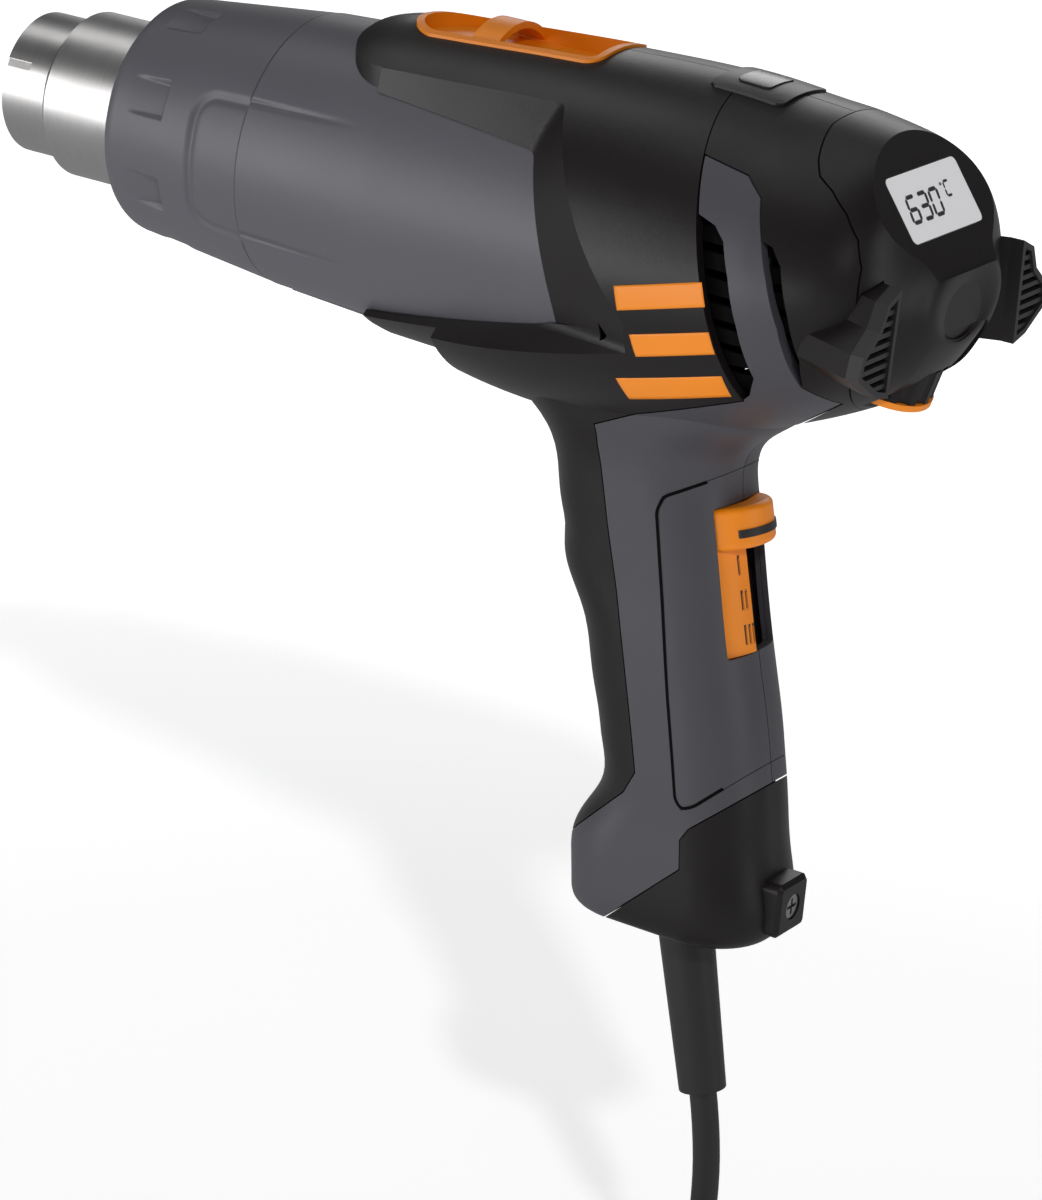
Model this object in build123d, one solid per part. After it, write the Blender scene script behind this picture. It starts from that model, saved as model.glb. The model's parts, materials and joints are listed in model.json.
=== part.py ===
from build123d import *
from math import atan2, cos, degrees, hypot, pi, radians, sin, tan
import os

# Hot-air gun with a barrel, a slanted pistol grip, a slide switch and a mains lead.
# The gun is drawn with its origin at the mouth of the nozzle, +X running back along the barrel
# and +Z up.  Each finished piece is then moved so that the origin lies where the hand closes
# round the grip.  All sizes are millimetres.

os.makedirs("parts", exist_ok=True)

# ---------------------------------------------------------------- driving dimensions
NOZZLE_REACH = 184.0       # nozzle mouth ahead of the hand-grip centre
BARREL_HEIGHT = 90.0       # barrel axis above the hand-grip centre
SEAM = 0.3                 # visible parting gap between two shells
FIT = 0.15                 # clearance of a seated piece, per side
WALL = 2.5                 # moulded shell thickness
CAP_WALL = 4.0             # thickness of the rear cap

# nozzle pipe
TIP_R = 17.0
TIP_LENGTH = 12.4
PIPE_R = 20.0
PIPE_WALL = 0.8
PIPE_END = 84.0
PIPE_FLANGE_R = 26.5
PIPE_FLANGE_T = 1.2
DIMPLE_COUNT = 3
DIMPLE_LENGTH = 7.0
DIMPLE_WIDTH = 2.0
DIMPLE_DEPTH = 0.45

# heater
CORE_FRONT = 17.0
CORE_R = 13.4
CORE_FIN_T = 2.0
COIL_WIRE_R = 0.55
COIL_TURNS = 12
MICA_WALL = 0.6
MICA_GAP = 0.3
HEATER_FLANGE_T = 4.0

# protective sleeve over the nozzle
SLEEVE_FRONT = 38.3
SLEEVE_REAR = 80.2
SLEEVE_LIP_R = 26.8
SLEEVE_FRONT_R = 28.3
SLEEVE_REAR_R = 32.3
SLEEVE_WALL = 2.4
SLEEVE_MOUTH_R = 22.5
POCKET_COUNT = 8
POCKET_DEPTH = 1.0

# barrel housing, the grey tube that carries the heater and the motor
BARREL_FRONT_R = 32.4
BARREL_MID_X = 116.0
BARREL_R = 34.5
BARREL_END = 182.0
BARREL_WALL = 2.4
SPIGOT_LENGTH = 10.0
FRONT_WALL_T = 3.0

# main body form, as half-ellipses above and below the axis: distance behind the nozzle,
# crown height, belly depth, half width
BODY_FRONT = 98.0
BODY_CROWN = 39.0
BODY_BELLY = 43.0
BODY_HALF_WIDTH = 40.4
BODY_REAR = 250.5
KEEL_REAR = 136.0          # the shell is solid down to the barrel ahead of the grip,
SADDLE_REAR = 182.0        # and above this depth behind that, round the flank window
SADDLE_BOTTOM = -33.0

LEDGE_FRONT = 111.5        # front of the thin lower ledge of the main shell
LEDGE_REAR = 135.0         # front of the full-thickness keel behind it
LEDGE_T = 2.4
NOSE_R = 14.0              # plan radius of the spine's rounded front corners
NOSE_HALF_WIDTH = 23.0

# grip, as level rounded sections: height, front edge, rear edge, half width
GRIP_HALF_WIDTH = 18.3
GRIP_BOTTOM = -157.5
GRIP_LEAN = 13.6           # lean of the grip's rear face, degrees

# slide switch in the back of the grip
SWITCH_TOP = (202.2, -54.6)
SWITCH_LENGTH = 35.0
SWITCH_HALF_WIDTH = 10.2
SWITCH_DEPTH = 11.0
GRIP_BACK_R = 14.0
KNOB_LENGTH = 10.0
KNOB_RISE = 6.0
KNOB_GAP = 0.25            # play of the knob in its opening
INDEX_U = 6.3
INDEX_WIDTH = 1.8
SCALE_T = 1.8
SWITCH_PITCH = 8.1

# top tray with its hanging bar
TRAY_FRONT = 107.5
TRAY_REAR = 160.7
TRAY_CORNER_R = 4.0
TRAY_HALF_WIDTH = 12.0
TRAY_RIM = 1.8
TRAY_FLOOR = 35.0
TRAY_FLOOR_T = 0.45
TRAY_PROUD = 0.6
BAR_X = 130.0
BAR_LENGTH = 7.0
BAR_RISE = 2.0             # top of the bar above the crown
BAR_FOOT = 36.6            # height where the bar runs into the rim
BAR_T = 1.6

# residual-heat light behind the tray
LIGHT_FRONT = 188.4
LIGHT_REAR = 206.9
LIGHT_HALF_WIDTH = 10.5
LIGHT_BOTTOM = 34.6
LIGHT_PROUD = 0.6
LENS_FRONT = 192.6
LENS_REAR = 200.9
LENS_HALF_WIDTH = 5.8
LENS_T = 2.4

# display
DISPLAY_CENTRE = (240.55, 23.25)
DISPLAY_TILT = 36.6        # of the display's normal above the axis, degrees
DISPLAY_WIDTH = 31.6
DISPLAY_HEIGHT = 15.6
DISPLAY_T = 1.6

# shallow hollow for the thumb, above the dial
HOLLOW_HALF_WIDTH = 13.5
HOLLOW_TOP = -3.0
HOLLOW_DEPTH = 0.7

# setting dial
DIAL_CENTRE = (235.0, -14.8)
DIAL_R = 11.0
DIAL_T = 8.0
DIAL_RING_T = 1.5
DIAL_TILT = 16.0
DIAL_GAP = 0.5
DIAL_SHAFT_R = 2.5
DIAL_FLUTES = 14
BOARD_X = 219.3
BOARD_T = 1.6
SCREEN_GAP = 0.25
SCREEN_T = 1.2

# rear feet
FOOT_FACE = 249.6
FOOT_PAD_T = 3.2
FOOT_INNER = 28.0
FOOT_TOP = 11.0
FOOT_BOTTOM = -13.0
FOOT_TOP_HALF = 33.5
FOOT_BOTTOM_HALF = 43.5

# motor and fan
MOTOR_R = 17.5
MOTOR_FRONT = 132.0
MOTOR_REAR = 176.0
SHAFT_R = 1.6
FAN_FRONT = 185.0
FAN_T = 11.0
FAN_R = 30.0
FAN_BLADES = 9

# housing screws
SCREW_R = 1.4
SCREW_HEAD_R = 2.8
SCREW_POST_R = 3.4
SCREW_BITE = 9.0
SCREW_HEAD_Y = 15.6        # outer face of the screw heads, right of the parting plane
MAIN_SCREWS = [(168.0, -56.0), (181.0, -106.0)]
GRIP_SCREWS = [(193.0, -46.0), (184.0, -146.0)]

# mains lead
CORD_R = 3.25
BOSS_FACE = 226.4          # rear face of the screw boss behind the bottom cap
RELIEF_START = (198.6, -157.5)
RELIEF_END = (208.3, -199.0)
RELIEF_TOP_R = 6.6
RELIEF_END_R = 5.6
FLOOR_Z = -200.0           # height of the surface under the gun, from the hand-grip centre
COIL_STACK = 3             # turns side by side, and as many layers
COIL_TURN_R = 38.0         # mean radius of the stored turns
COIL_CENTRE = (28.0, -67.0)
TIE_T = 0.8
TIE_WIDTH = 6.0
PLUG_X = -18.0
PLUG_R = 18.5
PLUG_NECK_R = 4.8
PLUG_BACK = -40.0          # where the lead enters the plug
PLUG_LENGTH = 55.0
PIN_R = 2.4
PIN_ROOT_R = 2.0
PIN_ROOT_GAP = 1.0         # narrow root that shows between the plug's face and the pin
PIN_LENGTH = 19.0
PIN_SPACING = 19.0

to_row = Location((-NOZZLE_REACH, 0, BARREL_HEIGHT))


# ---------------------------------------------------------------- drawing helpers
def rod_x(x0, x1, radius, y=0.0, z=0.0):
    """Solid round bar along the barrel from x0 to x1."""
    bar = Cylinder(radius, x1 - x0, align=(Align.CENTER, Align.CENTER, Align.MIN))
    return Location((x0, y, z), (0, 90, 0)) * bar


def ring_x(x0, x1, outer, inner):
    """Plain tube along the barrel."""
    return rod_x(x0, x1, outer) - rod_x(x0 - 1, x1 + 1, inner)


def turned(points):
    """Solid of revolution about the barrel axis from (x, radius) points."""
    outline = make_face(Plane.XZ * Polyline(*points, close=True))
    return revolve(outline, Axis.X)


def block(x, y, z):
    """Box between two corners given as (low, high) pairs."""
    size = (x[1] - x[0], y[1] - y[0], z[1] - z[0])
    box = Box(*size, align=(Align.MIN, Align.MIN, Align.MIN))
    return Pos(x[0], y[0], z[0]) * box


def side_outline(points, radius=0.0):
    """Face in the side view from (x, z) points, with every corner rounded."""
    if radius:
        wire = Plane.XZ * FilletPolyline(*points, radius=radius, close=True)
    else:
        wire = Plane.XZ * Polyline(*points, close=True)
    return make_face(wire)


def left_prism(face, y_near=SEAM / 2, y_far=70.0):
    """Side-view face drawn out to the left, from y = -y_near to y = -y_far."""
    return extrude(face.moved(Location((0, -y_near, 0))), y_far - y_near, dir=(0, -1, 0))


def both_sides(left):
    """A left-hand piece and its mirror image."""
    return left, mirror(left, Plane.XZ)


# ---------------------------------------------------------------- outer forms
def body_stations():
    """Half-ellipse sizes along the body: x, crown, belly, half width."""
    crown = BODY_CROWN
    belly = BODY_BELLY
    side = BODY_HALF_WIDTH
    return [
        (BODY_FRONT, crown - 3.6, belly - 9.0, side - 6.4),
        (105.0, crown - 1.8, belly - 8.4, side - 4.4),
        (120.0, crown - 0.7, belly - 5.4, side - 2.4),
        (144.0, crown + 0.6, belly - 0.8, side - 0.8),
        (170.0, crown + 1.6, belly, side),
        (193.0, crown + 1.6, belly - 2.4, side + 0.2),
        (212.0, crown - 0.1, belly - 8.5, side),
        (222.0, crown - 1.2, belly - 12.8, side - 1.0),
        (231.0, crown - 2.8, belly - 17.0, side - 3.0),
        (238.0, crown - 5.6, belly - 20.8, side - 5.6),
        (244.0, crown - 12.4, belly - 24.8, side - 11.4),
        (248.0, crown - 21.0, belly - 29.6, side - 19.0),
        (BODY_REAR, crown - 32.0, belly - 37.0, side - 32.0),
    ]


def body_form(inset=0.0):
    """Outside of the body, or the same form drawn in by a wall thickness."""
    sections = []
    for x, crown, belly, side in body_stations():
        half_height = (crown + belly) / 2 - inset
        centre = (crown - belly) / 2
        back = inset * 0.9 if x > 230 else 0.0
        at = Plane((x - back, 0, centre), x_dir=(0, 1, 0), z_dir=(1, 0, 0))
        sections.append(at * Ellipse(side - inset, half_height))
    return loft(sections)


def grip_stations():
    """Level sections of the grip: z, front edge, rear edge, half width."""
    half = GRIP_HALF_WIDTH
    return [
        (-24.0, 137.0, 222.0, half + 10.0),
        (-33.0, 143.0, 214.0, half + 6.5),
        (-39.0, 148.0, 207.0, half + 3.6),
        (-44.0, 152.8, 202.6, half + 1.8),
        (-50.0, 156.2, 201.6, half + 1.0),
        (-63.0, 159.2, 204.4, half + 0.4),
        (-70.0, 160.7, 206.0, half + 0.2),
        (-79.0, 163.2, 208.0, half),
        (-87.0, 167.6, 209.9, half),
        (-95.0, 170.0, 212.0, half - 0.1),
        (-104.0, 172.3, 214.4, half - 0.2),
        (-112.0, 174.6, 216.2, half - 0.2),
        (-121.0, 176.9, 218.0, half - 0.1),
        (-128.0, 176.2, 219.2, half),
        (-137.0, 171.4, 220.8, half + 0.3),
        (-148.0, 170.8, 223.4, half + 0.6),
        (-154.0, 171.4, 223.0, half),
        (GRIP_BOTTOM, 176.6, 218.0, half - 4.5),
    ]


def grip_form(inset=0.0):
    """Outside of the grip, or the same form drawn in by a wall thickness."""
    sections = []
    for z, front, rear, half in grip_stations():
        depth = rear - front - 2 * inset
        width = 2 * (half - inset)
        lift = inset if z < -150 else 0.0
        at = Plane(((front + rear) / 2, 0, z + lift))
        sections.append(at * RectangleRounded(depth, width, width / 2 - 2.2))
    return loft(sections)


body_skin = body_form()
grip_skin = grip_form()
skin = body_skin + grip_skin
inner_body = body_form(WALL)
front_mouth = rod_x(BODY_FRONT - 8, BODY_FRONT + 8, BARREL_FRONT_R - 2)
inner_grip = grip_form(WALL)


def barrel_outline(grow=0.0):
    """Outer (x, radius) line of the barrel housing, grown by a clearance."""
    return [(SLEEVE_REAR + 0.2, BARREL_FRONT_R + grow), (BARREL_MID_X, BARREL_R - 0.3 + grow),
            (BARREL_END, BARREL_R + grow)]


barrel_room = turned([(SLEEVE_REAR, 0)] + barrel_outline(SEAM) + [(BARREL_END + SEAM, BARREL_R + SEAM),
                                                                 (BARREL_END + SEAM, 0)])
cavity = inner_body + inner_grip + front_mouth + barrel_room
shell = skin - cavity

# ---------------------------------------------------------------- side-view outlines (x, z)
groove_top = (189.2, 50)
groove_mid = (204.4, 15.0)
groove_end = (215.4, -21.6)

main_seam = [(187.0, -32.4), (174.6, -38.6), (174.8, -44.0), (178.6, -62.3), (182.4, -77.4),
             (191.7, -118.6), (189.0, -124.2), (150, -163.2)]
arm_front = [(203.7, 18.6), (208.3, 17.2), (211.3, 14.6), (214.3, 7.6), (217.5, -2.9),
             (219.9, -14.6), (217.6, -19.6)]
arm_rear = [(199.4, 29.0), (211.0, 27.2), (216.0, 24.0), (219.6, 16.5), (222.8, 8.7),
            (226.2, -1.2), (228.9, -15.4), (233.7, -20.1), (207.0, -39.0)]
rear_vent = [(222.6, 15.6), (225.4, 12.0), (228.4, 1.9), (230.4, -8.2), (229.5, -14.6)]
base_seam = [(232.0, -106.6), (207.0, -128.3), (205.4, -131.2), (206.2, -138.2), (180.0, -163.4)]
cap_seam = [(219.4, 50), (219.4, 37.2), (223.2, 32.1), (225.6, 29.7), (229.8, 27.6), (234.8, 24.0),
            (238.8, 19.5), (241.0, 14.0), (241.6, 6.0), (240.0, -10.0), (234.0, -24.0),
            (229.0, -50.0)]


def groove_curve():
    """The curved parting line behind the main shell, from top to bottom."""
    return ThreePointArc(groove_top, groove_mid, groove_end)


def main_region():
    """Side-view area of the black main shell and its front grip strip."""
    edge = groove_curve()
    rest = Polyline(groove_end, *main_seam, (60, -163.2), (60, 50), groove_top)
    return make_face(Plane.XZ * (edge + rest))


def grip_region():
    """Side-view area of the grey grip shell with the arm that runs up the flank."""
    points = arm_rear + [(250, -41.0), (250, -92.0)] + base_seam[:1] + base_seam[1:]
    points = points + list(reversed(main_seam))
    points = points + [groove_end] + list(reversed(arm_front))
    return make_face(Plane.XZ * Polyline(*points, close=True))


def vent_areas():
    """Side-view openings before and behind the arm, where the fan draws in air."""
    front = arm_front + [groove_end, (205.0, 0.0)]
    rear = arm_rear[3:7] + list(reversed(rear_vent))
    return [side_outline(front), side_outline(rear)]


def grown(face, by=SEAM):
    """A region grown all round by a parting gap."""
    return offset(face, by, kind=Kind.INTERSECTION)


def largest(area):
    """The biggest face of an area."""
    return area.faces().sort_by(SortBy.AREA)[-1]


def cap_region():
    """Side-view area of the rear cap."""
    points = cap_seam + [(262, -50), (262, 50)]
    return make_face(Plane.XZ * Polyline(*points, close=True))


def base_region():
    """Side-view area of the cap that closes the bottom of the grip."""
    points = base_seam + [(240, -163.4)]
    return make_face(Plane.XZ * Polyline(*points, close=True))


def rear_region():
    """Side-view area of the rear shell: all that the other shells and the vents leave."""
    area = side_outline([(185, -46), (262, -46), (262, 50), (185, 50)])
    for other in [main_region(), grip_region(), cap_region()]:
        area = area - grown(other)
    for vent in vent_areas():
        area = area - vent
    return largest(area)


def grip_area():
    """Side-view area of the grip shell, a parting gap clear of main shell and base."""
    return largest(grip_region() - grown(main_region()) - grown(base_region()))


# ---------------------------------------------------------------- nozzle, heater and sleeve
barrel_face = SLEEVE_REAR + 0.2
flange_face = barrel_face + FRONT_WALL_T
heater_face = flange_face + PIPE_FLANGE_T
motor_mid = (MOTOR_FRONT + MOTOR_REAR) / 2
bore_front = BARREL_FRONT_R - BARREL_WALL
bore_rear = BARREL_R - BARREL_WALL


def nozzle_pipe():
    """Stainless pipe with a necked mouth, pressed dimples and a clamped flange."""
    inner = PIPE_R - PIPE_WALL
    tip_inner = TIP_R - PIPE_WALL
    neck = TIP_LENGTH + 2.7
    pipe = turned([
        (0, tip_inner), (0, TIP_R), (TIP_LENGTH, TIP_R), (TIP_LENGTH + 1.2, TIP_R + 0.9),
        (neck, PIPE_R), (flange_face, PIPE_R), (flange_face, PIPE_FLANGE_R),
        (heater_face, PIPE_FLANGE_R), (heater_face, inner), (neck + 0.6, inner),
        (TIP_LENGTH + 1.0, tip_inner + 0.6), (TIP_LENGTH, tip_inner),
    ])
    for k in range(DIMPLE_COUNT):
        cut = Pos(DIMPLE_LENGTH / 2 - 1, 0, TIP_R) * Box(DIMPLE_LENGTH + 2, DIMPLE_WIDTH,
                                                         2 * DIMPLE_DEPTH)
        pipe = pipe - cut.rotate(Axis.X, 64 + 360 / DIMPLE_COUNT * k)
    return pipe


def heater_core():
    """Crossed insulating plates on a centre rod, which hold the heating wire."""
    core = rod_x(CORE_FRONT, heater_face + HEATER_FLANGE_T, 3.5)
    length = heater_face - CORE_FRONT
    fin = Pos(CORE_FRONT + length / 2, 0, 0) * Box(length, 2 * CORE_R, CORE_FIN_T)
    core = core + fin + fin.rotate(Axis.X, 90)
    return core


def heater_coil():
    """Turns of heating wire round the crossed plates."""
    first = CORE_FRONT + 5
    pitch = (heater_face - 8 - first) / (COIL_TURNS - 1)
    radius = CORE_R + COIL_WIRE_R + 0.15
    turns = []
    for k in range(COIL_TURNS):
        turns.append(Location((first + pitch * k, 0, 0), (0, 90, 0)) * Torus(radius, COIL_WIRE_R))
    return Compound(children=turns)


def heater_flange():
    """Disc that clamps the pipe flange and carries core and insulating tube."""
    disc = rod_x(heater_face, heater_face + HEATER_FLANGE_T, bore_front - FIT)
    disc = disc - rod_x(heater_face - 1, heater_face + HEATER_FLANGE_T + 1, 3.5 + 0.05)
    for k in range(6):
        hole = rod_x(heater_face - 1, heater_face + HEATER_FLANGE_T + 1, 4.2, z=9.6)
        disc = disc - hole.rotate(Axis.X, 45 + 60 * k)
    return disc


def protective_sleeve():
    """Grey heat guard round the nozzle, which pulls off forwards."""
    thin = SLEEVE_WALL
    seat = SLEEVE_REAR - SPIGOT_LENGTH
    bore = BARREL_FRONT_R - 2.8
    sleeve = turned([
        (SLEEVE_FRONT + 0.4, SLEEVE_MOUTH_R), (SLEEVE_FRONT, SLEEVE_MOUTH_R + 1.5),
        (SLEEVE_FRONT, SLEEVE_LIP_R - 1.2), (SLEEVE_FRONT + 1.0, SLEEVE_LIP_R),
        (SLEEVE_FRONT + 3.8, SLEEVE_FRONT_R), (SLEEVE_REAR, SLEEVE_REAR_R),
        (SLEEVE_REAR, bore), (seat - 1, bore), (seat - 1, bore - 1.0),
        (SLEEVE_FRONT + 4.2, SLEEVE_FRONT_R - thin), (SLEEVE_FRONT + 2.4, SLEEVE_MOUTH_R),
    ])
    for k in range(POCKET_COUNT):
        cut = Pos(SLEEVE_FRONT + 10.5, 0, SLEEVE_FRONT_R + 2 - POCKET_DEPTH) * Box(9, 8.6, 4)
        cut = fillet(cut.edges().filter_by(Axis.Z), 2)
        tilt = degrees(atan2(SLEEVE_REAR_R - SLEEVE_FRONT_R, SLEEVE_REAR - SLEEVE_FRONT - 3.8))
        cut = cut.rotate(Axis((SLEEVE_FRONT + 10.5, 0, SLEEVE_FRONT_R), (0, 1, 0)), -tilt - 2)
        sleeve = sleeve - cut.rotate(Axis.X, 22.5 + 360 / POCKET_COUNT * k)
    return sleeve


def barrel_housing():
    """Grey tube behind the sleeve, with the spigot that the sleeve sits on."""
    spigot = BARREL_FRONT_R - 2.8 - FIT
    outer = barrel_outline()
    tube = turned([(barrel_face - SPIGOT_LENGTH, spigot - 2.2), (barrel_face - SPIGOT_LENGTH, spigot),
                   (barrel_face, spigot)] + outer
                  + [(BARREL_END, bore_rear), (heater_face + HEATER_FLANGE_T + 8, bore_rear),
                     (heater_face + HEATER_FLANGE_T + 4, bore_front), (flange_face, bore_front),
                     (flange_face, PIPE_R + FIT), (barrel_face, PIPE_R + FIT),
                     (barrel_face, spigot - 2.2)])
    rib = turned([(barrel_face + 4, 0), (barrel_face + 4, BARREL_FRONT_R + 0.4),
                  (LEDGE_FRONT - SEAM, BARREL_R), (LEDGE_FRONT - SEAM, 0)])
    rib = rib & block((barrel_face, LEDGE_FRONT), (-12, 12), (-40, -BARREL_FRONT_R + 6))
    rib = rib - rod_x(barrel_face, LEDGE_FRONT, BARREL_FRONT_R - 1)
    return tube + rib


# ---------------------------------------------------------------- main shell
WINDOW_REAR = 165.0        # rear edge of the flank window, on the axis
WINDOW_LEAN = 18.4         # lean of that edge, degrees
WINDOW_BOW = 8.0           # how far past the axis the bevel behind it is centred
WINDOW_BEVEL = 0.36        # rise of that bevel
WINDOW_TOP_R = 6.0         # radii of the window's upper and lower rear corners
WINDOW_LOW_R = 3.0


def window_section(x, top_edge, top_crease, low_edge, low_crease):
    """Cross-section of the flank window's cutter at x, from (y, z) points of its bevels."""
    reach = 3.6
    top_out = tuple(e + reach * (c - e) for e, c in zip(top_edge, top_crease))
    low_out = tuple(e + reach * (c - e) for e, c in zip(low_edge, low_crease))
    points = [top_edge, top_out, (-70, top_out[1]), (-70, low_out[1]), low_out, low_edge,
              (-6, low_edge[1]), (-6, top_edge[1])]
    return make_face(Polyline(*[(x, y, z) for y, z in points], close=True))


def window_cutter():
    """Bevelled flank window of the black shell, through which the grey barrel shows."""
    front = window_section(95, (-22.9, 26.2), (-22.0, 33.4), (-17.5, -29.8), (-22.6, -33.2))
    rear = window_section(190, (-30.8, 16.6), (-26.0, 28.6), (-35.2, -10.6), (-37.2, -14.2))
    cutter = loft([front, rear], ruled=True)
    ahead = 80.0
    behind = 40.0
    base_r = BARREL_R + SEAM + WINDOW_BOW
    lean = radians(WINDOW_LEAN)
    frame = Plane(origin=(WINDOW_REAR, WINDOW_BOW, 0), x_dir=(0, 1, 0),
                  z_dir=(cos(lean), 0, sin(lean)))
    cone = Cone(base_r - WINDOW_BEVEL * ahead, base_r + WINDOW_BEVEL * behind, ahead + behind)
    cone = frame * Pos(0, 0, (behind - ahead) / 2) * cone
    cutter = largest_solid(cutter - cone)
    for radius, lowest in [(WINDOW_TOP_R, False), (WINDOW_LOW_R, True)]:
        corners = [e for e in cutter.edges() if is_window_corner(e)]
        corners.sort(key=lambda e: e.center().Z, reverse=not lowest)
        cutter = fillet(corners[0], radius)
    return cutter


def is_window_corner(edge):
    """Whether an edge of the window's cutter is one of the two corners of its rear end."""
    inner, outer = sorted([edge.position_at(0), edge.position_at(1)], key=lambda end: end.X)
    return abs(inner.X - WINDOW_REAR) < 15 and outer.X > inner.X + 8 and abs(inner.Z) < 30


def tray_outline(grow=0.0):
    """Plan outline of the top tray: round front, straight flanks, square rear."""
    half = TRAY_HALF_WIDTH + grow
    front = TRAY_FRONT - grow
    rear = TRAY_REAR + grow
    bend = front + half * 0.75
    top = Line((bend, half), (rear, half))
    end = Line((rear, half), (rear, -half))
    low = Line((rear, -half), (bend, -half))
    nose = ThreePointArc((bend, -half), (front, 0), (bend, half))
    face = make_face(top + end + low + nose)
    return fillet(face.vertices().group_by(Axis.X)[-1], TRAY_CORNER_R + grow)


def tray_prism(z0, z1, grow=0.0):
    """The tray's plan outline drawn up from z0 to z1."""
    return extrude(tray_outline(grow).moved(Location((0, 0, z0))), z1 - z0, dir=(0, 0, 1))


def main_housing_left(cutter):
    """Left half of the black shell: spine, keel and the strip down the front of the grip."""
    half = shell & left_prism(main_region())
    saddle = block((BODY_FRONT - 2, SADDLE_REAR), (-60, -SEAM / 2), (SADDLE_BOTTOM, 60))
    keel = block((BODY_FRONT - 2, KEEL_REAR), (-60, -SEAM / 2), (-60, SADDLE_BOTTOM + 1))
    half = half + ((skin & (saddle + keel)) - barrel_room)
    half = half - cutter
    ledge = turned([(LEDGE_FRONT, 0), (LEDGE_FRONT, BARREL_R + LEDGE_T - 0.6),
                    (LEDGE_REAR, BARREL_R + LEDGE_T + 0.3), (LEDGE_REAR, 0)])
    low = block((BODY_FRONT - 2, LEDGE_REAR), (-60, 0), (-60, -18))
    half = half - (low - ledge)
    nose = block((BODY_FRONT - 2, BODY_FRONT + NOSE_R), (-60, NOSE_R - NOSE_HALF_WIDTH), (10, 60))
    half = half - (nose - Pos(BODY_FRONT + NOSE_R, NOSE_R - NOSE_HALF_WIDTH, 35) * Cylinder(NOSE_R, 60))
    half = half - tray_prism(TRAY_FLOOR - 2, BODY_CROWN + 5, FIT)
    half = half - light_block(FIT)
    return largest_solid(half)


def largest_solid(shape):
    """The main piece of a cut shape."""
    return shape.solids().sort_by(SortBy.VOLUME)[-1]


# ---------------------------------------------------------------- top tray and indicator
def top_tray():
    """Bright tray set in the crown, with a bar across it to hang the gun by."""
    crown = body_form(-TRAY_PROUD)
    tray = tray_prism(TRAY_FLOOR - TRAY_FLOOR_T, BODY_CROWN + 5) & crown
    pocket = tray_prism(TRAY_FLOOR, BODY_CROWN + 6, -TRAY_RIM)
    tray = tray - pocket
    bar_half = TRAY_HALF_WIDTH - TRAY_RIM / 2
    top = BODY_CROWN + BAR_RISE
    rise = top - BAR_FOOT
    arch_r = (bar_half ** 2 + rise ** 2) / (2 * rise)
    arch = Cylinder(arch_r, BAR_LENGTH) - Cylinder(arch_r - BAR_T, BAR_LENGTH)
    arch = Location((BAR_X, 0, top - arch_r), (0, 90, 0)) * arch
    arch = arch & block((TRAY_FRONT, TRAY_REAR), (-bar_half, bar_half), (TRAY_FLOOR, top + 1))
    return largest_solid(tray + arch)


def light_block(grow=0.0):
    """Plain housing of the residual-heat light, across the crown's parting line."""
    half = LIGHT_HALF_WIDTH + grow
    size = ((LIGHT_FRONT - grow, LIGHT_REAR + grow), (-half, half), (LIGHT_BOTTOM - grow, 60))
    bar = block(*size)
    return fillet(bar.edges().filter_by(Axis.Z), 2.0 + grow)


def lens_block(grow=0.0):
    """Upright prism of the light's lens."""
    half = LENS_HALF_WIDTH + grow
    bar = block((LENS_FRONT - grow, LENS_REAR + grow), (-half, half), (LIGHT_BOTTOM - 1, 60))
    return fillet(bar.edges().filter_by(Axis.Z), 1.5 + grow)


def light_bezel():
    """Housing of the residual-heat light, with the seat of its lens."""
    crown = body_form(-LIGHT_PROUD)
    seat = lens_block(FIT) - body_form(LENS_T - LIGHT_PROUD)
    return largest_solid((light_block() & crown) - seat)


def light_lens():
    """Lens of the residual-heat light."""
    return largest_solid((lens_block() & body_form(-LIGHT_PROUD - 0.3))
                         - body_form(LENS_T - LIGHT_PROUD))


# ---------------------------------------------------------------- grip, rear shell and caps
grip_back = Plane(origin=(SWITCH_TOP[0], 0, SWITCH_TOP[1]),
                  x_dir=(sin(radians(GRIP_LEAN)), 0, -cos(radians(GRIP_LEAN))),
                  z_dir=(cos(radians(GRIP_LEAN)), 0, sin(radians(GRIP_LEAN))))


def on_back(u, v, n):
    """Box in the grip's back frame: u down the grip, v across, n out, as (low, high) pairs."""
    return grip_back * block(u, v, n)


def back_bar(u0, u1, radius, n):
    """Round bar lying down the back of the grip, with its axis at depth n."""
    bar = Cylinder(radius, u1 - u0, align=(Align.CENTER, Align.CENTER, Align.MIN))
    return grip_back * Location((u0, 0, n), (0, 90, 0)) * bar


def switch_pocket(grow=0.0):
    """Round-cornered opening for the slide switch in the back of the grip."""
    half = SWITCH_HALF_WIDTH + grow
    box = block((-grow, SWITCH_LENGTH + grow), (-half, half), (-SWITCH_DEPTH, 12))
    return grip_back * fillet(box.edges().filter_by(Axis.Z), 0.8)


def pad_region():
    """Side-view area of the inlay that wraps the back of the grip."""
    return side_outline([(214, -40.6), (191.6, -52.4), (190.6, -56.0), (198.2, -99.0),
                         (202.8, -122.0), (204.6, -124.0), (207.4, -122.8), (232, -99.4)])


def grip_left(pad_room):
    """Left grey grip shell with the arm that runs up between the air vents."""
    half = shell & left_prism(grip_area())
    half = half - pad_room
    half = half - switch_pocket() - dial_room()
    return largest_solid(half)


def grip_pad_left(pad_layer):
    """Left half of the grip inlay."""
    pad = pad_layer & left_prism(pad_region())
    return largest_solid(pad - switch_pocket())


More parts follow.
